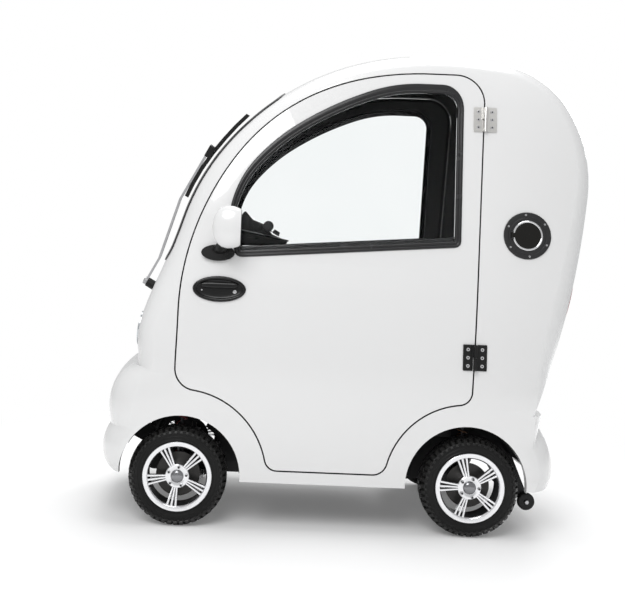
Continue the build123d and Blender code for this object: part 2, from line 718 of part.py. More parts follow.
BRACKET = 8.0
BRACKET_Y = ANTITIP[1] - ANTITIP_WIDTH / 2 - 1
with BuildPart() as antitip_brackets:
    for side in (-1, 1):
        with BuildSketch(Plane.XZ.offset(-side * BRACKET_Y)):
            with BuildLine():
                Polyline((-545, 290), (-600, 290), (ANTITIP[0] - 14, 90), (ANTITIP[0] + 12, 74), (-545, 248), close=True)
            make_face()
        extrude(amount=side * BRACKET)
        with BuildSketch(Plane.XZ.offset(-side * (BRACKET_Y - 1))):
            with Locations((ANTITIP[0], ANTITIP[2])):
                Circle(ANTITIP_PIN_R)
        extrude(amount=-side * (ANTITIP_WIDTH + 6))
        spacer = BRACKET_Y - RAIL_OUTER
        with Locations((-570, side * (RAIL_OUTER + spacer / 2), 270)):
            Box(40, spacer, 34)
keep(antitip_brackets, "antitip_brackets")

# Cabin fittings
COLUMN_FOOT = Vector(470, 0, 430)
COLUMN_TOP = Vector(306, 0, 917)
COLUMN_R = 21.0
STEM_R = 12.0
STEM_DEPTH = 70.0
column_axis = (COLUMN_TOP - COLUMN_FOOT).normalized()
column_length = (COLUMN_TOP - COLUMN_FOOT).length
column_plane = Plane(origin=COLUMN_FOOT, x_dir=(0, 1, 0), z_dir=column_axis)
print("steering axis:", [round(v, 3) for v in COLUMN_TOP], [round(v, 5) for v in column_axis])
toe_rise = Vector(TUB_TRAIL[0][0] - TUB_TRAIL[1][0], 0, TUB_TRAIL[0][1] - TUB_TRAIL[1][1]).normalized()
toe_up = toe_rise.cross(Vector(0, 1, 0))
toe_foot = Vector(TUB_TRAIL[1][0], 0, TUB_TRAIL[1][1]) + toe_up * TUB + toe_rise * 46
toe_plane = Plane(origin=toe_foot, x_dir=toe_rise, z_dir=toe_up)
COLUMN_FLANGE = (64.0, 96.0)
with BuildPart() as steering_column:
    with BuildSketch(column_plane):
        Circle(COLUMN_R)
    extrude(amount=column_length)
    with BuildSketch(toe_plane.offset(FIT)):
        RectangleRounded(*COLUMN_FLANGE, 8)
    extrude(amount=8)
    with BuildSketch(column_plane.offset(column_length - STEM_DEPTH)):
        Circle(STEM_R + RUNNING)
    extrude(amount=STEM_DEPTH, mode=Mode.SUBTRACT)
keep(steering_column, "steering_column")

POD = [(190, 962), (202, 947), (385, 940), (398, 1010), (352, 1070), (322, 1037), (276, 1020), (250, 986)]
POD_HALF = 62.0
BAR = (268.0, 1012.0)
BAR_HALF = 235.0
with BuildPart() as handlebar:
    with BuildSketch(Plane.XZ.offset(-POD_HALF)):
        Polygon(*POD, align=None)
        fillet(vertices(), 6)
    extrude(amount=2 * POD_HALF)
    fillet(edges().filter_by(Plane.XZ), 8)
    with BuildSketch(Plane.XZ.offset(-BAR_HALF)):
        with Locations(BAR):
            Circle(11)
    extrude(amount=2 * BAR_HALF)
    for side in (-1, 1):
        with BuildSketch(Plane.XZ.offset(-side * BAR_HALF)):
            with Locations(BAR):
                Circle(16)
        extrude(amount=side * 115)
    with BuildSketch(column_plane.offset(column_length - STEM_DEPTH + 2)):
        Circle(STEM_R)
    extrude(amount=STEM_DEPTH + 60)
keep(handlebar, "handlebar")

DASH = [(720, 700), (720, 862), (560, 880), (455, 845), (440, 800), (470, 700)]
DASH_HALF = 285.0
with BuildPart() as dashboard:
    with BuildSketch(Plane.XZ.offset(-DASH_HALF)):
        Polygon(*DASH, align=None)
        fillet(vertices().sort_by(Axis.X)[:4], 14)
    extrude(amount=2 * DASH_HALF)
    add(inside_form, mode=Mode.INTERSECT)
keep(dashboard, "dashboard")

# Seat: plinth on the seat box, cushion and leaning back
SEAT_Z = 520.0
SEAT_HALF = 210.0
CUSHION = 80.0
CUSHION_X = (-410.0, 5.0)
with BuildPart() as seat_frame:
    with Locations((-265, 0, (TUB_TRAIL[4][1] + TUB + SEAT_Z) / 2)):
        Box(240, 300, SEAT_Z - TUB_TRAIL[4][1] - TUB - 2 * FIT)
keep(seat_frame, "seat_frame")

with BuildPart() as seat_cushion:
    with Locations((sum(CUSHION_X) / 2, 0, SEAT_Z + FIT + CUSHION / 2)):
        Box(CUSHION_X[1] - CUSHION_X[0], 2 * SEAT_HALF, CUSHION)
    fillet(edges().filter_by(Axis.Z), 40)
keep(seat_cushion, "seat_cushion")

BACK_TRAIL = [(-410.3, 600), (-500, 985), (-580, 965), (-500, 590)]
with BuildPart() as seat_back:
    with BuildSketch(Plane.XZ.offset(-SEAT_HALF)):
        Polygon(*BACK_TRAIL, align=None)
        fillet(vertices().group_by(Axis.Y)[-1], 24)
    extrude(amount=2 * SEAT_HALF)
keep(seat_back, "seat_back")


# Side fittings stand on the leaning side face: an arc below SHOULDER, its tangent above
with BuildLine():
    flank = ThreePointArc((BELLY_Y, FORM_BASE), (HALF_WIDTH, WAIST_Z), SHOULDER)
flank_slope = flank % 1


def side_plane(x, z):
    """Plane on the left side face at x and z, facing outwards, with x rearwards and y upwards."""
    if z > SHOULDER[1]:
        y = SHOULDER[0] + flank_slope.X / flank_slope.Y * (z - SHOULDER[1])
        lean = math.atan2(-flank_slope.X, flank_slope.Y)
    else:
        rise = z - flank.arc_center.Y
        y = flank.arc_center.X + math.sqrt(flank.radius**2 - rise**2)
        lean = math.asin(rise / flank.radius)
    out = Vector(0, math.cos(lean), math.sin(lean))
    return Plane(origin=(x, y, z), x_dir=(-1, 0, 0), z_dir=out)


# Round side port: black flange with a raised ring, and a bare disc hinged at its front edge
PORT = (-603.0, 1011.7)
PORT_R = 80.0
PORT_RING_R = 50.0
PORT_FLANGE = 5.0
CAP_DISC_R = 43.0
CAP_DISC = 4.0
CAP_HINGE = 53.0  # from the disc's centre to its hinge pin
CAP_BARREL_R = 4.0
CAP_TAB = 16.0
port_plane = side_plane(*PORT)
CAP_BACK = FIT + PORT_FLANGE + FIT
cap_pin = port_plane.origin - port_plane.x_dir * CAP_HINGE + port_plane.z_dir * (CAP_BACK + CAP_BARREL_R)
print("port hinge:", [round(v, 3) for v in cap_pin + Vector(MIDDLE_SHIFT, 0, 0)], [round(v, 5) for v in port_plane.y_dir])
with BuildPart() as port_flanges:
    with BuildSketch(port_plane.offset(FIT)):
        Circle(PORT_R)
    extrude(amount=PORT_FLANGE)
    with BuildSketch(port_plane.offset(FIT + PORT_FLANGE)):
        Circle(PORT_RING_R)
        Circle(CAP_DISC_R + 1, mode=Mode.SUBTRACT)
        with Locations((-PORT_RING_R, 0)):
            Rectangle(18, 26, mode=Mode.SUBTRACT)
    extrude(amount=4)
    for up in (-1, 1):
        knuckle_start = cap_pin + port_plane.y_dir * up * (CAP_TAB / 2 + 0.5)
        with BuildSketch(Plane(origin=knuckle_start, x_dir=port_plane.x_dir, z_dir=port_plane.y_dir * up)):
            Circle(CAP_BARREL_R)
            with Locations((0, up * (CAP_BARREL_R + FIT) / 2)):
                Rectangle(2 * CAP_BARREL_R, CAP_BARREL_R + FIT)
        extrude(amount=5)
    mirror(about=Plane.XZ)
keep(port_flanges, "port_flanges")

with BuildPart() as port_cap:
    with BuildSketch(port_plane.offset(CAP_BACK)):
        Circle(CAP_DISC_R)
        with Locations((-(CAP_HINGE + CAP_DISC_R - 4) / 2, 0)):
            Rectangle(CAP_HINGE - CAP_DISC_R + 4, CAP_TAB)
    extrude(amount=CAP_DISC)
    with BuildSketch(Plane(origin=cap_pin - port_plane.y_dir * CAP_TAB / 2, x_dir=port_plane.x_dir, z_dir=port_plane.y_dir)):
        Circle(CAP_BARREL_R)
    extrude(amount=CAP_TAB)
keep_pair(port_cap, "port_cap")

# Hinges: two leaves with half of the barrel each, at two heights
hinge_low = side_plane(*HINGE_LOW)
hinge_high = side_plane(*HINGE_HIGH)
pin_low = hinge_low.origin + hinge_low.z_dir * HINGE_STANDOFF
pin_high = hinge_high.origin + hinge_high.z_dir * HINGE_STANDOFF
pin_axis = (pin_high - pin_low).normalized()
print("hinge line:", [round(v, 3) for v in pin_low + Vector(MIDDLE_SHIFT, 0, 0)], [round(v, 5) for v in pin_axis])
LEAF_WIDTH, LEAF_HEIGHT, LEAF = HINGE_LEAF
BARREL_R = HINGE_PIN_R + 1.5
BARREL_GAP = 1.0
LEAF_ROOM = 1.0  # between the barrel's side and the edge of a leaf, for the pin leans past the upright leaves


def hinge_leaves(direction):
    """Leaf and half barrel at each height; direction -1 is the door's, 1 is the body's."""
    with BuildPart() as leaves:
        for plane, pin in ((hinge_low, pin_low), (hinge_high, pin_high)):
            with BuildSketch(plane.offset(2 * FIT)):
                with Locations((direction * (BARREL_R + LEAF_ROOM + LEAF_WIDTH / 2), 0)):
                    RectangleRounded(LEAF_WIDTH, LEAF_HEIGHT, 3)
            extrude(amount=LEAF)
            half = LEAF_HEIGHT / 2 - BARREL_GAP
            root = BARREL_R + LEAF_ROOM + LEAF  # reach of the part of the leaf that rises to the barrel
            with BuildSketch(plane.offset(2 * FIT)):
                with Locations((direction * (root + 1) / 2, -direction * (half / 2 + BARREL_GAP))):
                    Rectangle(root - 1, half - BARREL_GAP)
            extrude(amount=HINGE_STANDOFF - 4 * FIT - 1)
            start = pin + pin_axis * (BARREL_GAP / 2 if direction < 0 else -half - BARREL_GAP / 2)
            with BuildSketch(Plane(origin=start, x_dir=(1, 0, 0), z_dir=pin_axis)):
                Circle(BARREL_R)
            extrude(amount=half)
    return leaves


keep_pair(hinge_leaves(-1), "door_hinges")
with BuildPart() as body_hinges:
    add(hinge_leaves(1).part)
    mirror(about=Plane.XZ)
keep(body_hinges, "body_hinges")

# Door handle: an oval surround with a lever across its hollow
HANDLE = (425.7, 793.3)
with BuildPart() as door_handle:
    with BuildSketch(side_plane(*HANDLE).offset(FIT)):
        Ellipse(89, 43)
    extrude(amount=7)
    with BuildSketch(side_plane(*HANDLE).offset(FIT + 3)):
        Ellipse(78, 33)
    extrude(amount=7, mode=Mode.SUBTRACT)
    with BuildSketch(side_plane(*HANDLE).offset(FIT)):
        with Locations((0, 4)):
            RectangleRounded(120, 26, 10)
    extrude(amount=11)
keep_pair(door_handle, "door_handle")

# Mirrors: an oval foot with an arm, and a housing that opens to the rear
MIRROR_FOOT = (435.0, 913.0)
MIRROR = (407.0, 1000.0)
with BuildPart() as mirror_foot:
    with BuildSketch(side_plane(*MIRROR_FOOT).offset(FIT)):
        Ellipse(56, 27)
    extrude(amount=14)
    with BuildSketch(side_plane(*MIRROR_FOOT).offset(FIT + 10)):
        with Locations((6, 6)):
            Ellipse(26, 14)
    with BuildSketch(Plane.XZ.offset(-400)):
        with Locations((415, 950)):
            Ellipse(20, 13)
    loft()
keep_pair(mirror_foot, "mirror_foot")

with BuildPart() as mirror_housing:
    for y, width, height in ((400.6, 74, 112), (428, 96, 142), (462, 66, 108)):
        with BuildSketch(Plane.XZ.offset(-y)):
            with Locations(MIRROR):
                Ellipse(width / 2, height / 2)
    loft()
keep_pair(mirror_housing, "mirror_housing")

# Wiper: spindle on the cowl, arm and blade leaning to the left at rest, in (along, out) rows
WIPER_BASE = Vector(711, 0, 795)
WIPER_TILT = 29.2
WIPER_PARK = 17.7
WIPER_ARM = [(-13, -4), (110, -4), (345, 38), (575, 36), (575, 44), (342, 46), (105, 4), (-13, 4)]
BLADE_EDGE = [(363, 20), (420, 23.5), (480, 23), (549, 17), (620, 5), (680, -8), (736, -24)]
BLADE_HEIGHT = 14.0
BLADE_JOINT = (551.0, 32.0, 40.0, 22.0)  # along, out, length, height
SPINDLE_R = 7.0
tilt = math.radians(WIPER_TILT)
park = math.radians(WIPER_PARK)
wiper_out = Vector(math.cos(tilt), 0, math.sin(tilt))
wiper_up = Vector(-math.sin(tilt), 0, math.cos(tilt))
arm_along = wiper_up * math.cos(park) + Vector(0, 1, 0) * math.sin(park)
hub_plane = Plane(origin=WIPER_BASE, x_dir=(0, 1, 0), z_dir=wiper_out)
arm_plane = Plane(origin=WIPER_BASE, x_dir=arm_along, z_dir=arm_along.cross(wiper_out))
print("wiper axis:", [round(v, 3) for v in WIPER_BASE + Vector(MIDDLE_SHIFT, 0, 0)], [round(v, 5) for v in wiper_out])
with BuildPart() as wiper_spindle:
    with BuildSketch(hub_plane.offset(-5)):
        Circle(17)
    extrude(amount=-80)
    with BuildSketch(hub_plane.offset(-6)):
        Circle(SPINDLE_R)
    extrude(amount=12)
    add(outer_form, mode=Mode.SUBTRACT)
keep(wiper_spindle, "wiper_spindle")

with BuildPart() as wiper_arm:
    with BuildSketch(hub_plane.offset(-4)):
        Circle(14)
    extrude(amount=12)
    with BuildSketch(arm_plane.offset(-5)):
        Polygon(*WIPER_ARM, align=None)
        with Locations(BLADE_JOINT[:2]):
            Rectangle(*BLADE_JOINT[2:])
    extrude(amount=10)
    with BuildSketch(arm_plane.offset(-4)):
        Polygon(*BLADE_EDGE, *[(along, out + BLADE_HEIGHT) for along, out in BLADE_EDGE[::-1]], align=None)
    extrude(amount=8)
    with BuildSketch(hub_plane.offset(-6)):
        Circle(SPINDLE_R + RUNNING)
    extrude(amount=12 + RUNNING, mode=Mode.SUBTRACT)
keep(wiper_arm, "wiper_arm")
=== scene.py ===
"""Enclosed four-wheel mobility scooter, dressed for the studio picture."""
import json
import math

import bmesh
import bpy
from mathutils import Matrix, Vector
from mathutils.bvhtree import BVHTree


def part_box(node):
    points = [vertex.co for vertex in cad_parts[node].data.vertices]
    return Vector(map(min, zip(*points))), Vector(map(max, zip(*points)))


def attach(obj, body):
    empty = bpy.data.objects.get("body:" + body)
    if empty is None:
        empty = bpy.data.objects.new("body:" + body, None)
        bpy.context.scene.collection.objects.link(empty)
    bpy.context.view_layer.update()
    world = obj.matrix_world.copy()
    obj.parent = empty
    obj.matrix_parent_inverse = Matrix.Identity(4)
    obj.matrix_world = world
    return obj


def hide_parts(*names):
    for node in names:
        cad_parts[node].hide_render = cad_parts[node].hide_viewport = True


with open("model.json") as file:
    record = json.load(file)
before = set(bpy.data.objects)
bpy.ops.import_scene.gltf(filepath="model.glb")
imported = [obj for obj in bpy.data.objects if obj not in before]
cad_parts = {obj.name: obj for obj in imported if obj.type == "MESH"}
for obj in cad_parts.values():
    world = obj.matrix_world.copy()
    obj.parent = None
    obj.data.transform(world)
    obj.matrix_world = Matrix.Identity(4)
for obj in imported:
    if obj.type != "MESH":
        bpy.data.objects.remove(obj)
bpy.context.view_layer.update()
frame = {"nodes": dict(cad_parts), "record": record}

# The viewpoint: a long lens at hip height, square to the driver's left side and a little
# tilted, as the picture was taken.
scene = bpy.context.scene
scene.view_settings.view_transform = "Standard"
SENSOR = 36.0
FOCAL_LENGTH = 52.8
FRAME_SHIFT = (0.0947, -0.1342)  # the picture is a crop above and to the right of the lens axis
CAMERA_REACH = 50.0
CAMERA_PLACE = (0.3369, 3.422, 0.9475)
CAMERA_PITCH = math.radians(1.744)
CAMERA_ROLL = math.radians(2.303)


def placed(name, data, place=(0, 0, 0), turn=None):
    """An object in the scene at a place, turned by a quaternion."""
    thing = bpy.data.objects.new(name, data)
    thing.location = place
    if turn is not None:
        thing.rotation_mode = "QUATERNION"
        thing.rotation_quaternion = turn
    scene.collection.objects.link(thing)
    return thing


camera_data = bpy.data.cameras.new("camera")
camera_data.sensor_width = SENSOR
camera_data.lens = FOCAL_LENGTH
camera_data.shift_x, camera_data.shift_y = FRAME_SHIFT
camera_data.clip_end = CAMERA_REACH
look = Matrix.Rotation(math.pi, 4, "Z") @ Matrix.Rotation(math.pi / 2 + CAMERA_PITCH, 4, "X")
look = look @ Matrix.Rotation(CAMERA_ROLL, 4, "Z")
scene.camera = placed("camera", camera_data, CAMERA_PLACE, look.to_quaternion())

# The studio: a white floor that keeps the soft shadow, lifted a little by painted white glow, a
# white surround that only the camera and clear panes see at full strength, and three large soft lamps.
SURROUND_LIGHT = 0.62
SURROUND_TINT = (0.99, 0.995, 1.0, 1.0)
FLOOR_HALF = 9.0
FLOOR_GREY = (0.9, 0.9, 0.9, 1.0)
# the last value is the least share of painted white glow on the floor, which lightens the shadow near the
# car
FADE_FROM, FADE_TO, SHADOW_LIFT_GLOW = 1.1, 2.0, 0.12  # distances at which the floor turns plain white
LAMPS = [
    # name, place, aim, size, watts
    ("key", (1.2, 3.4, 3.6), (0, 0, 0.7), 2.6, 95),
    ("roof", (-0.2, -0.4, 4.2), (0, 0, 0.8), 3.2, 80),
    ("back", (-1.8, -3.2, 2.6), (0, 0, 0.7), 2.2, 60),
]


def wire(tree, node, sockets):
    """Gives each socket of a node a value, an output, or another node's first output."""
    for label, given in sockets.items():
        for source in given if isinstance(given, list) else [given]:
            if isinstance(source, bpy.types.Node):
                source = source.outputs[0]
            if isinstance(source, bpy.types.NodeSocket):
                tree.links.new(source, node.inputs[label])
            else:
                node.inputs[label].default_value = source


def add_node(tree, kind, sockets=None, **settings):
    """A new node with its settings and its sockets wired."""
    node = tree.nodes.new(kind)
    for name, value in settings.items():
        setattr(node, name, value)
    wire(tree, node, sockets or {})
    return node


def bare_tree(owner):
    """The emptied node tree of a world or a material."""
    owner.use_nodes = True
    owner.node_tree.nodes.clear()
    return owner.node_tree


scene.world = bpy.data.worlds.new("surround")
tree = bare_tree(scene.world)
rays = add_node(tree, "ShaderNodeLightPath").outputs
lit = add_node(tree, "ShaderNodeBackground", {"Color": SURROUND_TINT, "Strength": SURROUND_LIGHT})
seen = add_node(tree, "ShaderNodeBackground", {"Color": (1, 1, 1, 1), "Strength": 1.0})
either = {0: rays["Is Camera Ray"], 1: rays["Is Transmission Ray"]}
either = add_node(tree, "ShaderNodeMath", either, operation="MAXIMUM")
blend = add_node(tree, "ShaderNodeMixShader", {0: either, 1: lit, 2: seen})
add_node(tree, "ShaderNodeOutputWorld", {0: blend})

floor_mesh = bpy.data.meshes.new("floor")
corners = [(x * FLOOR_HALF, y * FLOOR_HALF, 0) for x, y in ((-1, -1), (1, -1), (1, 1), (-1, 1))]
floor_mesh.from_pydata(corners, [], [(0, 1, 2, 3)])
placed("floor", floor_mesh)
floor_paint = bpy.data.materials.new("floor_paint")
floor_mesh.materials.append(floor_paint)
tree = bare_tree(floor_paint)
place = add_node(tree, "ShaderNodeTexCoord").outputs["Object"]
distance = add_node(tree, "ShaderNodeVectorMath", {0: place}, operation="LENGTH").outputs["Value"]
fade = add_node(tree, "ShaderNodeMapRange", {
    "Value": distance, "From Min": FADE_FROM, "From Max": FADE_TO, "To Min": SHADOW_LIFT_GLOW,
}, interpolation_type="SMOOTHSTEP")
rays = add_node(tree, "ShaderNodeLightPath").outputs
# camera rays see the floor mixed with white glow: plain white far off, and near the car a painted glow
# that lightens the shadow
far = add_node(tree, "ShaderNodeMath", {0: fade, 1: rays["Is Camera Ray"]}, operation="MULTIPLY")
matt = add_node(tree, "ShaderNodeBsdfDiffuse", {"Color": FLOOR_GREY})
glow = add_node(tree, "ShaderNodeEmission", {"Strength": 1.0})
blend = add_node(tree, "ShaderNodeMixShader", {0: far, 1: matt, 2: glow})
add_node(tree, "ShaderNodeOutputMaterial", {0: blend})

for name, spot, aim, size, watts in LAMPS:
    lamp = bpy.data.lights.new(name, "AREA")
    lamp.shape = "DISK"
    lamp.size = size
    lamp.energy = watts
    placed(name, lamp, spot, (Vector(aim) - Vector(spot)).to_track_quat("-Z", "Y"))

# Chassis: two painted box rails that kick up over the rear axle, with cross members and damper
# towers welded on. The arms, the rack tube and the brackets behind are bolted to them, and all
# of it is powder coated black with a film of road dust.
MM = 0.001
CHASSIS_EDGE = 0.0015
BUMP_STRENGTH = 0.6
COAT_ROUGHNESS = 0.04


def node_group(name, kind, inputs, outputs):
    """A node group with its named inputs and outputs, and the outputs of its input node."""
    group = bpy.data.node_groups.new(name, kind)
    for label, socket, *value in inputs:
        socket = group.interface.new_socket(name=label, in_out="INPUT", socket_type=f"NodeSocket{socket}")
        if value:
            socket.default_value = value[0]
    for label, socket in outputs:
        group.interface.new_socket(name=label, in_out="OUTPUT", socket_type=f"NodeSocket{socket}")
    return group, group.nodes.new("NodeGroupInput").outputs


def variation_group():
    """Varies a colour and a roughness over the surface, with a fine height for bump."""
    group, given = node_group("surface_variation", "ShaderNodeTree", [
        ("Light", "Color", (0.8, 0.8, 0.8, 1)), ("Dark", "Color", (0.7, 0.7, 0.7, 1)),
        ("Patch Scale", "Float", 6.0), ("Grain Scale", "Float", 400.0),
        ("Rough Low", "Float", 0.3), ("Rough High", "Float", 0.4),
    ], [("Color", "Color"), ("Roughness", "Float"), ("Height", "Float")])
    place = add_node(group, "ShaderNodeTexCoord").outputs["Object"]
    patches, grain = (
        add_node(group, "ShaderNodeTexNoise", {"Vector": place, "Scale": given[scale], "Detail": detail})
        for scale, detail in (("Patch Scale", 5.0), ("Grain Scale", 3.0))
    )
    tint = {"Factor": patches, "A": given["Dark"], "B": given["Light"]}
    tint = add_node(group, "ShaderNodeMix", tint, data_type="RGBA")
    spread = add_node(group, "ShaderNodeMapRange", {
        "Value": patches, "From Min": 0.3, "From Max": 0.7,
        "To Min": given["Rough Low"], "To Max": given["Rough High"],
    })
    made = {"Color": tint.outputs["Result"], "Roughness": spread, "Height": grain}
    add_node(group, "NodeGroupOutput", made)
    return group


def dust_group():
    """Lays a thin film of dust on a colour, thicker where the surface faces up."""
    group, given = node_group("dust_film", "ShaderNodeTree", [
        ("Color", "Color", (0.5, 0.5, 0.5, 1)), ("Dust", "Color", (0.3, 0.285, 0.26, 1)),
        ("Amount", "Float", 0.2),
    ], [("Color", "Color")])
    facing = add_node(group, "ShaderNodeNewGeometry").outputs["Normal"]
    split = add_node(group, "ShaderNodeSeparateXYZ", {"Vector": facing})
    upward = add_node(group, "ShaderNodeMapRange", {
        "Value": split.outputs["Z"], "From Min": -0.4, "From Max": 1.0, "To Min": 0.25,
    })
    place = add_node(group, "ShaderNodeTexCoord").outputs["Object"]
    specks = add_node(group, "ShaderNodeTexNoise", {"Vector": place, "Scale": 45.0, "Detail": 8.0})
    amount = add_node(group, "ShaderNodeMath", {0: upward, 1: specks}, operation="MULTIPLY")
    share = {0: amount, 1: given["Amount"]}
    share = add_node(group, "ShaderNodeMath", share, operation="MULTIPLY", use_clamp=True)
    film = {"Factor": share, "A": given["Color"], "B": given["Dust"]}
    film = add_node(group, "ShaderNodeMix", film, data_type="RGBA")
    add_node(group, "NodeGroupOutput", {"Color": film.outputs["Result"]})
    return group


surface_variation = variation_group()
dust_film = dust_group()


def finish(
    name, light, dark, rough, grain=(400.0, 0.0), patch=6.0, metallic=0.0, coat=0.0, dust=0.0, shine=0.5,
):
    """A Principled material whose colour, roughness and bump come from the shared groups. The
    grain is its scale and its depth."""
    material = bpy.data.materials.new(name)
    material.use_nodes = True
    tree = material.node_tree
    shader = tree.nodes["Principled BSDF"]
    vary = add_node(tree, "ShaderNodeGroup", {
        "Light": (*light, 1), "Dark": (*dark, 1), "Patch Scale": patch, "Grain Scale": grain[0],
        "Rough Low": rough[0], "Rough High": rough[1],
    }, node_tree=surface_variation).outputs
    colour = vary["Color"]
    if dust:
        colour = add_node(tree, "ShaderNodeGroup", {"Color": colour, "Amount": dust}, node_tree=dust_film)
    wire(tree, shader, {
        "Metallic": metallic, "Coat Weight": coat, "Coat Roughness": COAT_ROUGHNESS,
        "Specular IOR Level": shine, "Base Color": colour, "Roughness": vary["Roughness"],
    })
    if grain[1]:
        bump = {"Distance": grain[1], "Strength": BUMP_STRENGTH, "Height": vary["Height"]}
        wire(tree, shader, {"Normal": add_node(tree, "ShaderNodeBump", bump)})
    return material


def body_of_node(node):
    """The body a CAD node belongs to."""
    bodies = frame["record"]["behaviour"]["bodies"].items()
    return next((body for body, members in bodies if node in members), "root")


def shade_edges(work, crease):
    """Smooth faces, with the edges marked sharp that turn by more than crease degrees."""
    for face in work.faces:
        face.smooth = True
    for edge in work.edges:
        edge.smooth = len(edge.link_faces) == 2 and edge.calc_face_angle(0) < math.radians(crease)


def set_piece(name, mesh, materials, body, node=None, bevel=0.0, crease=32.0):
    """Links a finished mesh as a piece that rides on a body and may stand for a CAD node."""
    mesh.name = name
    for material in materials:
        mesh.materials.append(material)
    piece = placed(name, mesh)
    if bevel:
        soften = piece.modifiers.new("soften", "BEVEL")
        soften.width = bevel
        soften.segments = 2
        soften.limit_method = "ANGLE"
        soften.angle_limit = math.radians(crease)
        piece.modifiers.new("even", "WEIGHTED_NORMAL").keep_sharp = True
    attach(piece, body)
    if node:
        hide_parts(node)
    return piece


def whole_mesh(node):
    """A copy of a CAD node's mesh and a bmesh of it with its doubles merged."""
    mesh = frame["nodes"][node].data.copy()
    mesh.materials.clear()
    work = bmesh.new()
    work.from_mesh(mesh)
    bmesh.ops.remove_doubles(work, verts=work.verts, dist=1e-5)
    return mesh, work


def clad(node, *materials, crease=32.0, bevel=0.0, pick=None):
    """A merged, smooth copy of a CAD node that stands for it, with softened edges; pick gives a
    face's material number."""
    mesh, work = whole_mesh(node)
    if bevel:
        bmesh.ops.dissolve_limit(work, angle_limit=math.radians(0.5), verts=work.verts, edges=work.edges)
    shade_edges(work, crease)
    if pick:
        for face in work.faces:
            face.material_index = pick(face)
    work.to_mesh(mesh)
    work.free()
    set_piece(f"{node}_finish", mesh, materials, body_of_node(node), node, bevel=bevel, crease=crease)


powder_black = finish(
    "powder_black", (0.014, 0.014, 0.015), (0.008, 0.008, 0.009), (0.35, 0.5), (900.0, 0.0002), dust=0.06,
    shine=0.25,
)
for node in ("chassis_frame", "rack_housing", "antitip_brackets", "front_arms"):
    clad(node, powder_black, bevel=CHASSIS_EDGE)

# Front and rear dampers: a steel tube and rod with a helical spring of painted wire round them,
# dark red in front and rust brown behind, each between an eye on the arm and its tower.
SPRING_TURNS = 6.5
SPRING_R = 16.6 * MM
SPRING_WIRE_R = 3.4 * MM
SPRING_SEAT_R = 19.5 * MM
SPRING_FOOT = 19 * MM
SPRING_ROOM = 41 * MM  # what the damper is longer than its spring
DAMPER_TUBE_R = 11.0 * MM
DAMPER_ROD_R = 5.5 * MM
EYE_R = 9 * MM


def skin_rings(rings, close_path=False, close_section=True, cap=False):
    """A mesh over rows of points, each row joined to the next; returns its bmesh."""
    work = bmesh.new()
    rows = [[work.verts.new(point) for point in ring] for ring in rings]
    count = len(rows[0])
    steps = len(rows) if close_path else len(rows) - 1
    for index in range(steps):
        near, far = rows[index], rows[(index + 1) % len(rows)]
        for side in range(count if close_section else count - 1):
            after = (side + 1) % count
            work.faces.new((near[side], near[after], far[after], far[side]))
    if cap:
        work.faces.new(rows[0])
        work.faces.new(rows[-1])
    bmesh.ops.remove_doubles(work, verts=work.verts, dist=1e-6)
    bmesh.ops.recalc_face_normals(work, faces=work.faces)
    return work


def lathe(profile, steps, place, closed=False):
    """A profile of (radius, height) turned about the local Z axis and put in place."""
    rings = []
    for step in range(steps):
        angle = 2 * math.pi * step / steps
        rings.append([place @ Vector((r * math.cos(angle), r * math.sin(angle), h)) for r, h in profile])
    return skin_rings(rings, close_path=True, close_section=closed)


def merged(works, crease=32.0):
    """One mesh out of several bmeshes, with their material numbers kept."""
    mesh = bpy.data.meshes.new("merged")
    total = bmesh.new()
    for work in works:
        shade_edges(work, crease)
        part = bpy.data.meshes.new("part")
        work.to_mesh(part)
        work.free()
        total.from_mesh(part)
        bpy.data.meshes.remove(part)
    total.to_mesh(mesh)
    total.free()
    return mesh


def growth_tree(name, *inputs):
    """A Geometry Nodes tree for a seed mesh, with its named inputs and a material."""
    inputs = [("Geometry", "Geometry"), *inputs, ("Material", "Material")]
    return node_group(name, "GeometryNodeTree", inputs, [("Geometry", "Geometry")])


def stood_on(tree, points, shape, **sockets):
    """A shape instanced on points."""
    sockets = {"Points": points, "Instance": shape, **sockets}
    return add_node(tree, "GeometryNodeInstanceOnPoints", sockets)


def end_tree(tree, given, geometry, picked=None):
    """Closes a tree with Realize Instances and Set Material, and a second metal on picked faces."""
    last = add_node(tree, "GeometryNodeRealizeInstances", {"Geometry": geometry})
    last = add_node(tree, "GeometryNodeSetMaterial", {"Geometry": last, "Material": given["Material"]})
    if picked is not None:
        sockets = {"Geometry": last, "Selection": picked, "Material": given["Recess Material"]}
        last = add_node(tree, "GeometryNodeSetMaterial", sockets)
    add_node(tree, "NodeGroupOutput", {"Geometry": last})
    return tree


def grown(tree, seed, values):
    """The plain mesh that a tree makes from a seed mesh with the given input values."""
    maker = placed("maker", seed)
    modifier = maker.modifiers.new("grow", "NODES")
    modifier.node_group = tree
    for item in tree.interface.items_tree:
        if item.item_type == "SOCKET" and item.in_out == "INPUT" and item.name in values:
            modifier[item.identifier] = values[item.name]
    evaluated = maker.evaluated_get(bpy.context.evaluated_depsgraph_get())
    mesh = bpy.data.meshes.new_from_object(evaluated)
    maker.modifiers.clear()
    bpy.data.objects.remove(maker)
    return mesh


def seed_points(places, aims=()):
    """A mesh of loose points, with the direction each one faces."""
    seed = bpy.data.meshes.new("seed")
    seed.from_pydata([tuple(place) for place in places], [], [])
    if aims:
        facing = seed.attributes.new("aim", "FLOAT_VECTOR", "POINT")
        for index, aim in enumerate(aims):
            facing.data[index].vector = aim
    return seed


def smooth_shaded(mesh):
    """The mesh with all its faces smooth."""
    for face in mesh.polygons:
        face.use_smooth = True
    return mesh


def hoop(tree, radius, corners):
    """A circle of a tree, for a path or a section."""
    sockets = {"Radius": radius, "Resolution": corners}
    return add_node(tree, "GeometryNodeCurvePrimitiveCircle", sockets)


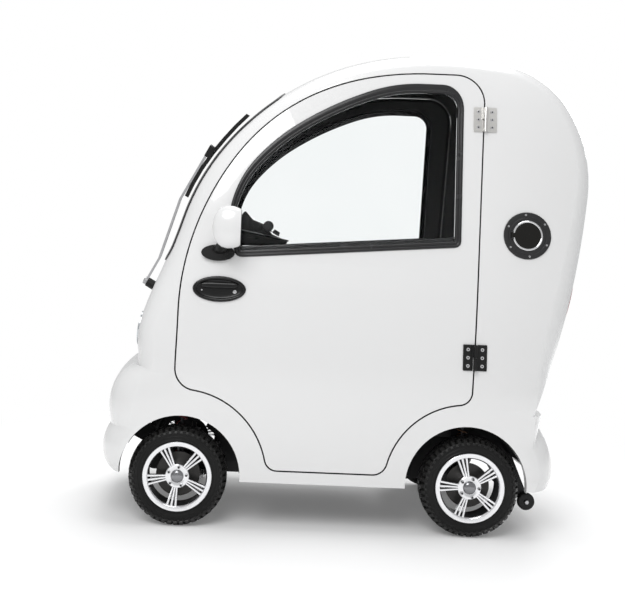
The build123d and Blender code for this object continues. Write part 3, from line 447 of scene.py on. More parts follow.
def coil_tree():
    """A helical spring on each point of the seed."""
    tree, given = growth_tree(
        "coil_spring", ("Coil Radius", "Float", 0.02), ("Wire Radius", "Float", 0.003),
        ("Turns", "Float", 6.0), ("Length", "Float", 0.2),
    )
    helix = add_node(tree, "GeometryNodeCurveSpiral", {
        "Resolution": 24, "Rotations": given["Turns"], "Start Radius": given["Coil Radius"],
        "End Radius": given["Coil Radius"], "Height": given["Length"],
    })
    tube = {"Curve": helix, "Profile Curve": hoop(tree, given["Wire Radius"], 10), "Fill Caps": True}
    tube = add_node(tree, "GeometryNodeCurveToMesh", tube)
    return end_tree(tree, given, stood_on(tree, given["Geometry"], tube))


coil_spring = coil_tree()
spring_red = finish("spring_red", (0.26, 0.025, 0.02), (0.15, 0.015, 0.013), (0.3, 0.45), dust=0.2)
spring_brown = finish("spring_brown", (0.2, 0.09, 0.035), (0.12, 0.05, 0.02), (0.35, 0.5), dust=0.3)
damper_grey = finish(
    "damper_grey", (0.2, 0.2, 0.21), (0.12, 0.12, 0.13), (0.3, 0.45), metallic=0.7, dust=0.2,
)
for end, paint in (("front", spring_red), ("rear", spring_brown)):
    node = f"{end}_dampers"
    low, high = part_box(node)
    across = high.y - SPRING_SEAT_R - 0.5 * MM
    feet = [Vector(((low.x + high.x) / 2, side * across, low.z)) for side in (-1, 1)]
    height = high.z - low.z
    profile = [
        (0, 0), (EYE_R, 0), (EYE_R, 14 * MM), (SPRING_SEAT_R, 16 * MM), (SPRING_SEAT_R, SPRING_FOOT),
        (DAMPER_TUBE_R, 21 * MM), (DAMPER_TUBE_R, height * 0.55), (DAMPER_ROD_R, height * 0.56),
        (DAMPER_ROD_R, height - 24 * MM), (SPRING_SEAT_R, height - 22 * MM),
        (SPRING_SEAT_R, height - 18 * MM), (EYE_R, height - 15 * MM), (EYE_R, height), (0, height),
    ]
    works = [lathe(profile, 28, Matrix.Translation(foot)) for foot in feet]
    set_piece(f"{end}_damper_tubes", merged(works), [damper_grey], "root", node)
    seed = seed_points([foot + Vector((0, 0, SPRING_FOOT + SPRING_WIRE_R)) for foot in feet])
    springs = grown(coil_spring, seed, {
        "Coil Radius": SPRING_R, "Wire Radius": SPRING_WIRE_R, "Turns": SPRING_TURNS,
        "Length": height - SPRING_ROOM - 2 * SPRING_WIRE_R, "Material": paint,
    })
    set_piece(f"{end}_springs", smooth_shaded(springs), [], "root")

# Drive and steering metal: cast knuckles and a cast transaxle with its motor, a ground steel
# rack bar, and one sealed battery block between the rear rails.
cast_grey = finish(
    "cast_grey", (0.13, 0.13, 0.135), (0.08, 0.08, 0.085), (0.4, 0.6), (500.0, 0.0004), metallic=0.9,
    dust=0.12,
)
ground_steel = finish("ground_steel", (0.6, 0.6, 0.61), (0.5, 0.5, 0.51), (0.2, 0.35), metallic=1.0)
battery_case = finish(
    "battery_case", (0.05, 0.05, 0.055), (0.03, 0.03, 0.034), (0.45, 0.6), (700.0, 0.0002), dust=0.2,
)
for node in ("transaxle", "knuckle_left", "knuckle_right"):
    clad(node, cast_grey, bevel=1.2 * MM)
clad("tie_rod", ground_steel, bevel=0.8 * MM)
clad("battery_pack", battery_case, bevel=4 * MM)

# Wheels: one-piece alloy rims, machined bright on the outer ring, the five spokes of three bars
# each and the hub, and dark in the barrel and on the back. A domed cap is pressed in, and five
# bolts hold the rim on its hub flange, with a steel brake disc behind.
RING_INNER_R, RING_BACK = 100.0, 35  # the bright ring's inner radius and the height of its back
BARREL = [
    # radius and height over the wheel's middle plane, round the section of the barrel
    (97, 36), (99.5, 39.5), (101, 41.2), (110, 42.6), (113.5, 42.8), (115, 41.5), (115, 38), (109.7, 33),
    (104, 22), (103, -20), (109.7, -33), (115, -37), (115, -42.5), (111, -43), (99, -38), (98, -10),
    (97, 30),
]
HUB = [
    (12.1, 33), (20, 33.5), (24, 35.5), (37, 35.5), (39.5, 33.5), (40, 24), (36, 14), (30, -15),
    (12.1, -16),
]
HUB_CAP = [(0, 44), (7, 43.6), (14, 42), (19, 39), (21, 35.8), (21.2, 28), (0, 28)]
BRAKE_DISC = [(30, -4), (74, -4), (74, -8), (30, -8)]
SPOKE_COUNT = 5
BAR_OUTLINE = [(26, 6.0), (60, 6.4), (103, 7.6)]  # radius and width along a bar
BAR_SPREAD = [(26, 5.6), (60, 9.6), (103, 14.8)]  # radius and distance between bars
BAR_TOP = [(26, 34.5), (60, 35.6), (103, 38.6)]
BAR_DEPTH = 13.0
BAR_CHAMFER = 1.3
BOLT_CIRCLE_R, BOLT_SEAT = 31.0, 35.0
BOLT_HEAD_R = 6.2
BOLT_HEIGHT = 7.0
SPOKE_ROLL = {"front": 63, "rear": 2}  # direction of the first spoke as it stands, in degrees
SIDES = (("left", 1), ("right", -1))
WHEELS = [(end, side) for end in ("front", "rear") for side in ("left", "right")]


def piecewise(table, at):
    """Straight-line value of a table of (position, value) rows."""
    for (near, low), (far, high) in zip(table, table[1:]):
        if at <= far:
            return low + (high - low) * (at - near) / (far - near)
    return table[-1][1]


def bar_rings(shift, count=9):
    """Rings along one bar of a spoke, at a share of the spread to one side of its middle."""
    rings = []
    for step in range(count):
        share = step / (count - 1)
        along = BAR_OUTLINE[0][0] + share * (BAR_OUTLINE[-1][0] - BAR_OUTLINE[0][0])
        half, spread, top = (piecewise(table, along) for table in (BAR_OUTLINE, BAR_SPREAD, BAR_TOP))
        half /= 2
        flat = half - BAR_CHAMFER
        section = [
            (-half, top - BAR_DEPTH), (half, top - BAR_DEPTH), (half, top - BAR_CHAMFER),
            (flat, top), (-flat, top), (-half, top - BAR_CHAMFER),
        ]
        rings.append([Vector((along, shift * spread + across, height)) for across, height in section])
    return rings


def wheel_matrix(end, side, roll=0.0):
    """Places a wheel modelled in millimetres about the local Z axis, outer face up."""
    low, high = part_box(f"tyre_{end}_{side}")
    turn = 0 if side == "left" else math.pi
    spun = Matrix.Rotation(math.radians(-roll), 4, "Y") @ Matrix.Rotation(turn, 4, "Z")
    # local X stays forward, local Z becomes the outer side and local Y points down
    lay = Matrix(((1, 0, 0, 0), (0, 0, 1, 0), (0, -1, 0, 0), (0, 0, 0, 1)))
    return Matrix.Translation((low + high) / 2) @ spun @ lay @ Matrix.Scale(MM, 4)


def turned_piece(name, profiles, steps, place, material, body, closed=False, crease=32.0):
    """A piece turned on a lathe, from one profile or several at their places."""
    works = [lathe(profile, steps, place, closed) for profile in profiles]
    set_piece(name, merged(works, crease), [material], body)


def fastener_tree():
    """A flat-headed bolt on each point, facing along its aim, with a recess in a second metal."""
    tree, given = growth_tree(
        "fasteners", ("Head Radius", "Float", 0.004), ("Head Height", "Float", 0.002),
        ("Sides", "Int", 16), ("Recess", "Float", 0.45), ("Recess Material", "Material"),
    )

    def scaled(factor, socket="Head Height"):
        return add_node(tree, "ShaderNodeMath", {0: given[socket], 1: factor}, operation="MULTIPLY")

    def disc(base_r, top_r, depth, lift_share, sides):
        cone = {"Radius Top": top_r, "Radius Bottom": base_r, "Depth": depth, "Vertices": sides}
        cone = add_node(tree, "GeometryNodeMeshCone", cone)
        lift = add_node(tree, "ShaderNodeCombineXYZ", {"Z": scaled(lift_share)})
        return add_node(tree, "GeometryNodeTransform", {"Geometry": cone, "Translation": lift})

    def stored(label, data_type):
        named = add_node(tree, "GeometryNodeInputNamedAttribute", {"Name": label}, data_type=data_type)
        return named.outputs["Attribute"]

    radius = scaled(1.0, "Head Radius")
    head = disc(radius, scaled(0.8, "Head Radius"), scaled(1.0), 0.0, given["Sides"])
    recess_r = scaled(given["Recess"], "Head Radius")
    recess = disc(recess_r, recess_r, scaled(0.15), 0.9, 12)
    mark = add_node(tree, "GeometryNodeStoreNamedAttribute", data_type="BOOLEAN", domain="FACE")
    wire(tree, mark, {"Geometry": recess, "Name": "recess", "Value": True})
    both = add_node(tree, "GeometryNodeJoinGeometry", {"Geometry": [head, mark]})
    aim = {"Vector": stored("aim", "FLOAT_VECTOR")}
    aim = add_node(tree, "FunctionNodeAlignRotationToVector", aim, axis="Z")
    stand = stood_on(tree, given["Geometry"], both, Rotation=aim)
    return end_tree(tree, given, stand, stored("recess", "BOOLEAN"))


def fasten(name, body, places, aims, head, recess, metals):
    """Bolts or screws at their places; the head is its radius, its height and its sides."""
    radius, height, sides = head
    heads = grown(fasteners, seed_points(places, aims), {
        "Head Radius": radius * MM, "Head Height": height * MM, "Sides": sides, "Recess": recess,
        "Material": metals[0], "Recess Material": metals[1],
    })
    set_piece(name, heads, [], body)


def on_circle(count, radius, height, start):
    """Points evenly round the local Z axis."""
    turns = [2 * math.pi * index / count + start for index in range(count)]
    return [Vector((radius * math.cos(turn), radius * math.sin(turn), height)) for turn in turns]


fasteners = fastener_tree()
machined_alloy = finish(
    "machined_alloy", (0.86, 0.86, 0.87), (0.76, 0.76, 0.78), (0.14, 0.24), (900.0, 0.00006), metallic=1.0,
)
rim_dark = finish(
    "rim_dark", (0.012, 0.012, 0.013), (0.006, 0.006, 0.007), (0.35, 0.5), dust=0.03, shine=0.2,
)
cap_grey = finish("cap_grey", (0.3, 0.3, 0.31), (0.22, 0.22, 0.23), (0.15, 0.25), metallic=1.0)
disc_steel = finish(
    "disc_steel", (0.06, 0.058, 0.056), (0.03, 0.029, 0.028), (0.35, 0.5), (800.0, 0.0001), metallic=0.8,
)
bolt_zinc = finish("bolt_zinc", (0.55, 0.55, 0.56), (0.42, 0.42, 0.43), (0.25, 0.35), metallic=1.0)
recess_dark = finish("recess_dark", (0.03, 0.03, 0.03), (0.02, 0.02, 0.02), (0.5, 0.6))

for end, side in WHEELS:
    wheel = f"wheel_{end}_{side}"
    set_up = wheel_matrix(end, side, SPOKE_ROLL[end])
    barrel = lathe(BARREL, 96, set_up, closed=True)
    centre = set_up.translation
    axle = (set_up.to_3x3() @ Vector((0, 0, 1))).normalized()
    for face in barrel.faces:
        offset = face.calc_center_median() - centre
        height = offset.dot(axle)
        radius = (offset - axle * height).length
        behind = radius < RING_INNER_R * MM and height < RING_BACK * MM or height < 0
        face.material_index = 1 if behind else 0
    works = [barrel, lathe(HUB, 64, set_up, closed=True)]
    for spoke in range(SPOKE_COUNT):
        spin = set_up @ Matrix.Rotation(2 * math.pi * spoke / SPOKE_COUNT, 4, "Z")
        for shift in (-1, 0, 1):
            rings = [[spin @ point for point in ring] for ring in bar_rings(shift)]
            works.append(skin_rings(rings, cap=True))
    rim = merged(works, 28)
    set_piece(f"rim_{end}_{side}_alloy", rim, [machined_alloy, rim_dark], wheel, f"rim_{end}_{side}")
    turned_piece(f"hub_cap_{end}_{side}", [HUB_CAP], 48, set_up, cap_grey, wheel, crease=40)
    name = f"brake_disc_{end}_{side}"
    turned_piece(name, [BRAKE_DISC], 64, set_up, disc_steel, wheel, closed=True)
    places = on_circle(SPOKE_COUNT, BOLT_CIRCLE_R, BOLT_SEAT, math.pi / SPOKE_COUNT)
    fasten(
        f"wheel_bolts_{end}_{side}", wheel, [set_up @ place for place in places], [axle] * SPOKE_COUNT,
        (BOLT_HEAD_R, BOLT_HEIGHT, 6), 0.55, (bolt_zinc, recess_dark),
    )

# Tyres: moulded black rubber casings with ribs on the side walls and a knobbly block tread,
# whose shoulder lugs wrap over the edge and catch light glints on their bevelled corners.
CASING = [
    (110, -32), (112, -35.5), (117, -37.5), (118.5, -39), (121, -39), (122.5, -37.8), (130, -40.2),
    (131, -41.4),
    (133, -41.4), (134, -40.6), (143, -40), (150, -36.5), (155, -30), (157.5, -20), (158, 0),
]
LUG_ROWS = [
    # count, radius, offset from the middle, tilt, twist, phase share, size (round, across, deep)
    (48, 153.6, 31.5, 38, 0, 0.0, (12.5, 19.0, 9.0)),
    (48, 146.5, 38.5, 66, 0, 0.5, (9.0, 9.0, 5.5)),
    (36, 160.2, 18.0, 8, 24, 0.25, (15.0, 14.0, 8.0)),
    (36, 160.9, 3.6, 0, -28, 0.75, (15.0, 11.0, 8.0)),
]


def tread_tree():
    """Rows of rubber blocks round a tyre; the rows on the two sides are half a pitch apart."""
    tree, given = growth_tree("block_tread", ("Lug Growth", "Float", 1.0))
    rows = add_node(tree, "GeometryNodeJoinGeometry")
    for count, radius, offset, tilt, twist, phase, size in LUG_ROWS:
        for hand in (1, -1):
            turn = phase if hand > 0 else phase + 0.5
            circle = add_node(tree, "GeometryNodeMeshCircle", {"Vertices": count, "Radius": radius})
            lift = add_node(tree, "GeometryNodeTransform", {
                "Geometry": circle, "Translation": (0, 0, hand * offset),
                "Rotation": (0, 0, 2 * math.pi * turn / count),
            })
            flat = {0: add_node(tree, "GeometryNodeInputPosition"), 1: (1, 1, 0)}
            flat = add_node(tree, "ShaderNodeVectorMath", flat, operation="MULTIPLY")
            outward = add_node(tree, "FunctionNodeAlignRotationToVector", {"Vector": flat}, axis="Z")
            level = {"Vector": (0, 0, 1), "Rotation": outward}
            level = add_node(tree, "FunctionNodeAlignRotationToVector", level, axis="Y", pivot_axis="Z")
            lean = (math.radians(-hand * tilt), 0, math.radians(hand * twist))
            lean = {"Rotation": level, "Rotate By": lean}
            lean = add_node(tree, "FunctionNodeRotateRotation", lean, rotation_space="LOCAL")
            grow = {0: size, "Scale": given["Lug Growth"]}
            grow = add_node(tree, "ShaderNodeVectorMath", grow, operation="SCALE")
            block = add_node(tree, "GeometryNodeMeshCube", {"Size": grow})
            wire(tree, rows, {"Geometry": stood_on(tree, lift, block, Rotation=lean)})
    return end_tree(tree, given, rows)


block_tread = tread_tree()
tyre_rubber = finish(
    "tyre_rubber", (0.009, 0.009, 0.009), (0.004, 0.004, 0.004), (0.28, 0.4), (600.0, 0.0002), dust=0.01,
    shine=0.2,
)
lug_rubber = finish(
    "lug_rubber", (0.012, 0.012, 0.012), (0.005, 0.005, 0.005), (0.3, 0.45), (500.0, 0.0002), patch=60.0,
    dust=0.03,
    shine=0.3,
)
for end, side in WHEELS:
    wheel = f"wheel_{end}_{side}"
    set_up = wheel_matrix(end, side)
    profile = CASING + [(radius, -height) for radius, height in CASING[-2::-1]]
    casing = merged([lathe(profile, 120, set_up, closed=True)], 24)
    set_piece(f"tyre_{end}_{side}_casing", casing, [tyre_rubber], wheel, f"tyre_{end}_{side}")
    lugs = grown(block_tread, seed_points([(0, 0, 0)]), {"Lug Growth": 1.0, "Material": lug_rubber})
    lugs.transform(set_up)
    set_piece(f"tread_{end}_{side}", lugs, [], wheel, bevel=0.9 * MM, crease=40.0)

# Small wheels behind that stop it tipping: solid black rubber wheels, each on a bright axle bolt
# through its bracket.
NUT_HEAD = (8.5, 5, 6)
NUT_SEAT = 3.2 * MM
small_rubber = finish(
    "small_rubber", (0.012, 0.012, 0.012), (0.006, 0.006, 0.006), (0.35, 0.5), dust=0.04, shine=0.25,
)
for side, hand in SIDES:
    clad(f"antitip_wheel_{side}", small_rubber, bevel=2.5 * MM)
    low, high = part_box(f"antitip_wheel_{side}")
    outer = high.y if hand > 0 else low.y
    place = ((low.x + high.x) / 2, outer + hand * NUT_SEAT, (low.z + high.z) / 2)
    metals = (bolt_zinc, bolt_zinc)
    fasten(f"antitip_nut_{side}", "root", [place], [(0, hand, 0)], NUT_HEAD, 0.5, metals)

# Cabin floor: a black moulded tub that rises from the toe board over the floor to the seat box,
# with a ribbed rubber mat laid in the foot well.
MAT_X = (-0.085, 0.335)
MAT_HALF = 0.27
MAT_BASE, MAT_TOP = 0.191, 0.195
MAT_RIBS = 26
MAT_RIB = (0.007, 0.003)
grained_black = finish(
    "grained_black", (0.02, 0.02, 0.021), (0.012, 0.012, 0.013), (0.5, 0.65), (450.0, 0.0004), dust=0.1,
    shine=0.3,
)
mat_rubber = finish(
    "mat_rubber", (0.03, 0.03, 0.031), (0.02, 0.02, 0.021), (0.6, 0.75), (350.0, 0.0003), dust=0.25,
)
clad("cabin_tub", grained_black, bevel=1.5 * MM)


def in_rows(tree, given, shape):
    """Closes a tree that repeats a shape along a line from each point of the seed."""
    line = {"Count": given["Count"], "Offset": given["Pitch"]}
    line = add_node(tree, "GeometryNodeMeshLine", line, mode="OFFSET")
    starts = {"Geometry": stood_on(tree, given["Geometry"], line)}
    lines = add_node(tree, "GeometryNodeRealizeInstances", starts)
    return end_tree(tree, given, stood_on(tree, lines, shape))


def bar_tree():
    """A row of like bars from each point."""
    tree, given = growth_tree(
        "bar_row", ("Count", "Int", 10), ("Pitch", "Vector", (0, 0.01, 0)),
        ("Bar", "Vector", (0.1, 0.004, 0.003)),
    )
    return in_rows(tree, given, add_node(tree, "GeometryNodeMeshCube", {"Size": given["Bar"]}))


def slab(low, high):
    """A closed box between two corners, as a bmesh."""
    (x1, y1, z1), (x2, y2, z2) = low, high
    return skin_rings([[(x1, y1, z), (x2, y1, z), (x2, y2, z), (x1, y2, z)] for z in (z1, z2)], cap=True)


bar_row = bar_tree()
mat = merged([slab((MAT_X[0], -MAT_HALF, MAT_BASE), (MAT_X[1] - 0.005, MAT_HALF, MAT_TOP))])
set_piece("floor_mat", mat, [mat_rubber], "root", bevel=1.2 * MM)
rib_start = ((MAT_X[0] + MAT_X[1]) / 2, -MAT_HALF + 0.015, MAT_TOP + 0.0005)
ribs = grown(bar_row, seed_points([rib_start]), {
    "Count": MAT_RIBS, "Pitch": (0, (2 * MAT_HALF - 0.03) / (MAT_RIBS - 1), 0),
    "Bar": (MAT_X[1] - MAT_X[0] - 0.04, *MAT_RIB), "Material": mat_rubber,
})
set_piece("floor_mat_ribs", ribs, [], "root")

# Steering column and console: a black tube on a bolted foot carries a moulded console with a
# round speed dial, a key switch and a display, and a bar with ribbed grips and drive levers.
DRAWN_AXLE_X = 0.541  # where the drawing has the front axle
SHIFT = sum(corner.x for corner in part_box("tyre_front_left")) / 2 - DRAWN_AXLE_X
CONSOLE_FACE = ((0.190 + SHIFT, 0.962), (0.322 + SHIFT, 1.037))  # edges of the driver's side, (x, z)
CONSOLE_SKIN = -0.0015  # how deep the fittings sit in the face
BAR_X, BAR_Z = 0.268 + SHIFT, 1.012
GRIP_R = 0.0165
GRIP_RIB_R = 1.8 * MM
GRIP_START, GRIP_LENGTH = 0.122, 0.108
GRIP_RINGS = 18
KNOBS = [(-0.03, -0.022, 0.0135, 0.014), (0.0, -0.03, 0.0075, 0.006), (0.03, -0.022, 0.009, 0.008)]
KEY_RING = [(0, 0.0065), (0.005, 0.0065), (0.0085, 0.006), (0.0098, 0.0045), (0.0102, 0), (0, 0)]
console_black = finish(
    "console_black", (0.014, 0.014, 0.015), (0.008, 0.008, 0.009), (0.24, 0.38), (700.0, 0.0002),
    shine=0.35,
)
display_glass = finish("display_glass", (0.01, 0.012, 0.014), (0.008, 0.009, 0.01), (0.05, 0.1), coat=1.0)
key_chrome = finish("key_chrome", (0.75, 0.75, 0.76), (0.66, 0.66, 0.67), (0.08, 0.16), metallic=1.0)
grip_rubber = finish(
    "grip_rubber", (0.025, 0.025, 0.025), (0.016, 0.016, 0.016), (0.55, 0.7), (500.0, 0.0003),
)
clad("steering_column", console_black, bevel=1.5 * MM)
clad("handlebar", console_black, bevel=1.2 * MM)


def along_frame(origin, out, right):
    """A matrix with its Z along out and its X along right."""
    out = Vector(out).normalized()
    right = (Vector(right) - out * Vector(right).dot(out)).normalized()
    turn = Matrix((right, out.cross(right), out)).transposed().to_4x4()
    return Matrix.Translation(origin) @ turn


def moved(work, place):
    """The bmesh put in its place."""
    bmesh.ops.transform(work, matrix=place, verts=work.verts)
    return work


face_low, face_high = (Vector((x, 0, z)) for x, z in CONSOLE_FACE)
face_up = (face_high - face_low).normalized()
face_out = Vector((-face_up.z, 0, face_up.x))


def on_console(right, up):
    """The place of a round fitting on the console's face."""
    spot = (face_low + face_high) / 2 + Vector((0, -right, 0)) + face_up * up + face_out * CONSOLE_SKIN
    return along_frame(spot, face_out, (0, -1, 0))


bezel = moved(
    slab((-0.034, -0.020, 0.0), (0.034, 0.020, 0.0035)),
    on_console(0, 0) @ Matrix.Translation((0, 0.032, 0)),
)
set_piece(
    "console_display", merged([bezel]), [display_glass], "handlebar",
    bevel=1.2 * MM,
)
dials = []
for right, up, radius, height in KNOBS:
    knob = [
        (0, height), (radius * 0.75, height), (radius * 0.9, height * 0.92), (radius, height * 0.3),
        (radius * 1.15, 0), (0, 0),
    ]
    dials.append(lathe(knob, 32, on_console(right, up)))
set_piece("console_knobs", merged(dials), [grip_rubber], "handlebar")
turned_piece(
    "key_switch", [KEY_RING], 32, on_console(0.034, 0.004), key_chrome, "handlebar",
)


def ring_tree():
    """Rings threaded along a line through each point, as on a ribbed grip."""
    tree, given = growth_tree(
        "grip_rings", ("Count", "Int", 12), ("Pitch", "Vector", (0, 0.006, 0)),
        ("Ring Radius", "Float", 0.016), ("Rib Radius", "Float", 0.0016),
    )
    tube = {
        "Curve": hoop(tree, given["Ring Radius"], 32),
        "Profile Curve": hoop(tree, given["Rib Radius"], 8),
    }
    tube = add_node(tree, "GeometryNodeCurveToMesh", tube)
    upright = add_node(tree, "GeometryNodeTransform", {"Geometry": tube, "Rotation": (math.pi / 2, 0, 0)})
    return in_rows(tree, given, upright)


starts = [(BAR_X, GRIP_START, BAR_Z), (BAR_X, -GRIP_START - GRIP_LENGTH, BAR_Z)]
rings = grown(ring_tree(), seed_points(starts), {
    "Count": GRIP_RINGS, "Pitch": (0, GRIP_LENGTH / (GRIP_RINGS - 1), 0), "Ring Radius": GRIP_R,
    "Rib Radius": GRIP_RIB_R, "Material": grip_rubber,
})
set_piece("grip_rings", smooth_shaded(rings), [], "handlebar")

# Drive levers: flat cast levers that pivot on a bright pin ahead of each grip and sweep back
# towards the driver's fingers.
LEVER_PATH = [
    (0.372, 0.135, 0.996), (0.340, 0.160, 0.990), (0.290, 0.190, 0.981), (0.235, 0.208, 0.970),
    (0.196, 0.214, 0.963),
]
LEVER_HALVES = [(0.010, 0.005), (0.009, 0.0045), (0.0085, 0.004), (0.009, 0.004), (0.006, 0.003)]
STUB_Y, STUB_R = (0.055, 0.14), 0.008
PIN_Y = 0.146
PIN = [(0, 0.005), (0.007, 0.004), (0.009, 0), (0.009, -0.008), (0, -0.008)]


def tube_rings(points, halves, corners=12):
    """Oval rings across a path of points, each with its half width and half height."""
    rings = []
    for index, (point, (half_w, half_h)) in enumerate(zip(points, halves)):
        before = points[max(index - 1, 0)]
        after = points[min(index + 1, len(points) - 1)]
        along = (after - before).normalized()
        across = along.cross(Vector((0, 0, 1))).normalized()
        up = across.cross(along)
        turns = [2 * math.pi * k / corners for k in range(corners)]
        rings.append([point + across * half_w * math.cos(a) + up * half_h * math.sin(a) for a in turns])
    return rings


pivot_x, pivot_z = LEVER_PATH[0][0] + SHIFT, LEVER_PATH[0][2]
levers = []
pins = []
for hand in (-1, 1):
    path = [Vector((x + SHIFT, hand * y, z)) for x, y, z in LEVER_PATH]
    stub = [Vector((pivot_x, hand * y, pivot_z)) for y in STUB_Y]
    levers.append(skin_rings(tube_rings(path, LEVER_HALVES), cap=True))
    levers.append(skin_rings(tube_rings(stub, [(STUB_R, STUB_R)] * 2), cap=True))
    pins.append(lathe(PIN, 24, along_frame((pivot_x, hand * PIN_Y, pivot_z), (0, hand, 0), (1, 0, 0))))
set_piece("drive_levers", merged(levers, 50), [console_black], "handlebar")
set_piece("lever_pins", merged(pins), [key_chrome], "handlebar")

# Dashboard: a black grained moulding behind the windscreen with two slatted air outlets for
# the screen and a shallow tray lip.
VENT = Vector((0.49 + SHIFT, 0, 0.8645))
VENT_Y = 0.15
VENT_LEAN = math.radians(-18.4)
VENT_SLATS, SLAT_PITCH = 11, 0.010
clad("dashboard", grained_black, bevel=2.5 * MM)
slats = grown(bar_row, seed_points([VENT + Vector((0, hand * VENT_Y - 0.05, 0)) for hand in (-1, 1)]), {
    "Count": VENT_SLATS, "Pitch": (0, SLAT_PITCH, 0), "Bar": (0.05, 0.004, 0.006),
    "Material": console_black,
})
slats.transform(Matrix.Translation(VENT) @ Matrix.Rotation(VENT_LEAN, 4, "Y") @ Matrix.Translation(-VENT))
set_piece("dash_vents", slats, [], "root")

# Seat: a foam cushion and back in black grained vinyl, each sewn with three channels, on a
# painted box frame.
PAD_INSET = 0.009
PAD_VOXEL = 0.007
PAD_CAP = 0.014
PAD_FRAMES = 20
CHANNEL_DEPTH = 0.006
CHANNEL_WIDTH = 0.009
CHANNELS = (-0.105, 0.0, 0.105)
VINYL_SHEEN = 0.15
clad("seat_frame", powder_black, bevel=CHASSIS_EDGE)
seat_vinyl = finish(
    "seat_vinyl", (0.034, 0.034, 0.035), (0.022, 0.022, 0.023), (0.36, 0.5), (650.0, 0.0005),
)
seat_vinyl.node_tree.nodes["Principled BSDF"].inputs["Sheen Weight"].default_value = VINYL_SHEEN


def pad(node, squeeze):
    """A cushion blown up from a slightly smaller copy of its CAD block by a short cloth run."""
    mesh, work = whole_mesh(node)
    low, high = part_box(node)
    middle = (low + high) / 2
    for vert in work.verts:
        for axis in range(3):
            reach = (high - low)[axis] / 2
            vert.co[axis] = middle[axis] + (vert.co[axis] - middle[axis]) * (reach - squeeze) / reach
    work.to_mesh(mesh)
    work.free()
    mesh.name = f"{node}_padded"
    piece = placed(mesh.name, mesh)
    bpy.context.view_layer.objects.active = piece
    piece.select_set(True)
    remesh = piece.modifiers.new("remesh", "REMESH")
    remesh.mode = "VOXEL"
    remesh.voxel_size = PAD_VOXEL
    bpy.ops.object.modifier_apply(modifier="remesh")
    start = [vert.co.copy() for vert in piece.data.vertices]
    cloth = piece.modifiers.new("cloth", "CLOTH")
    cloth.settings.quality = 5
    cloth.settings.mass = 0.3
    cloth.settings.tension_stiffness = 15
    cloth.settings.compression_stiffness = 15
    cloth.settings.bending_stiffness = 0.5
    cloth.settings.use_pressure = True
    cloth.settings.uniform_pressure_force = 4.0
    cloth.settings.effector_weights.gravity = 0.0
    cloth.collision_settings.use_collision = False
    cloth.point_cache.frame_start = 1
    cloth.point_cache.frame_end = PAD_FRAMES
    for number in range(1, PAD_FRAMES + 1):
        scene.frame_set(number)
    evaluated = piece.evaluated_get(bpy.context.evaluated_depsgraph_get())
    blown = [vert.co.copy() for vert in evaluated.data.vertices]
    piece.modifiers.remove(cloth)
    scene.frame_set(1)
    for vert, before, after in zip(piece.data.vertices, start, blown):
        shift = after - before
        vert.co = before + shift * min(1.0, PAD_CAP / max(shift.length, 1e-9))
        for axis in range(3):
            vert.co[axis] = min(max(vert.co[axis], low[axis]), high[axis])
    return piece


def sew(piece, node, out):
    """Presses sewn channels into the side of a pad that faces out."""
    middle = sum(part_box(node), Vector()) / 2
    for vert in piece.data.vertices:
        if (vert.co - middle).dot(out) < 0:
            continue
        for line in CHANNELS:
            away = abs(vert.co.y - line)
            if away < CHANNEL_WIDTH * 2.2:
                vert.co -= out * CHANNEL_DEPTH * math.exp(-(away / CHANNEL_WIDTH) ** 2 * 2)


for node, out in (("seat_cushion", Vector((0, 0, 1))), ("seat_back", Vector((0.975, 0, 0.22)))):
    cushion = pad(node, PAD_INSET)
    sew(cushion, node, out)
    cushion.data.materials.append(seat_vinyl)
    smooth_shaded(cushion.data)
    smooth = cushion.modifiers.new("even", "SMOOTH")
    smooth.factor = 0.5
    smooth.iterations = 3
    finer = cushion.modifiers.new("finer", "SUBSURF")
    finer.levels = finer.render_levels = 1
    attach(cushion, "root")
    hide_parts(node)

# Cabin trim: black felted linings bonded inside the shell and the doors.
felt_black = finish(
    "felt_black", (0.034, 0.034, 0.036), (0.018, 0.018, 0.019), (0.75, 0.9), (260.0, 0.0005), patch=14.0,
)
clad("cabin_lining", felt_black)

# Body shell: one white gel-coated moulding, hollow, with its inside left in black resin and a
# black rubber edge pressed round both door openings. The black on the opening faces and on the
# doors' own edges is also painted shade that darkens the shut gaps.
DOOR_SPAN = (-0.50, 0.62)
SILL_Z, DOOR_EDGE_Y = 0.18, 0.27
SPINE = ((-0.55, 0.45), (0.45, 1.2))  # ranges in x and z of the cabin's middle line
ARCH_CENTRES = ((0.535 + SHIFT, 0.1695), (-0.417 + SHIFT, 0.1695))
ARCH_FACE_R = 0.206
SKIRT_X, SKIRT_Z = -0.6, 0.42  # the rear bumper is white inside too
FOLDS_PAST, FOLDS_BELOW = 0.5, 0.7  # where the folds over the two bumpers lie
FOLD_VIEWS = ((0, 0.25), (0, 1), (0.7, 0.6), (-0.7, 0.6))  # y and z of the ways out of a fold
body_white = finish(
    "body_white", (0.705, 0.705, 0.705), (0.69, 0.69, 0.69), (0.2, 0.25), (2.2, 0.0), patch=1.6, coat=1.0,
)
resin_black = finish(
    "resin_black", (0.014, 0.014, 0.015), (0.007, 0.007, 0.008), (0.45, 0.7), (160.0, 0.0006), dust=0.05,
    shine=0.2,
)
# black for the faces of the door openings and the doors' edges: a rubber edge, and painted shade in the
# shut gaps
edge_rubber_and_gap_shade = finish(
    "edge_rubber_and_gap_shade", (0.018, 0.018, 0.018), (0.012, 0.012, 0.012), (0.5, 0.6), (500.0, 0.0002),
)
shell_tree = BVHTree.FromObject(frame["nodes"]["body_shell"], bpy.context.evaluated_depsgraph_get())


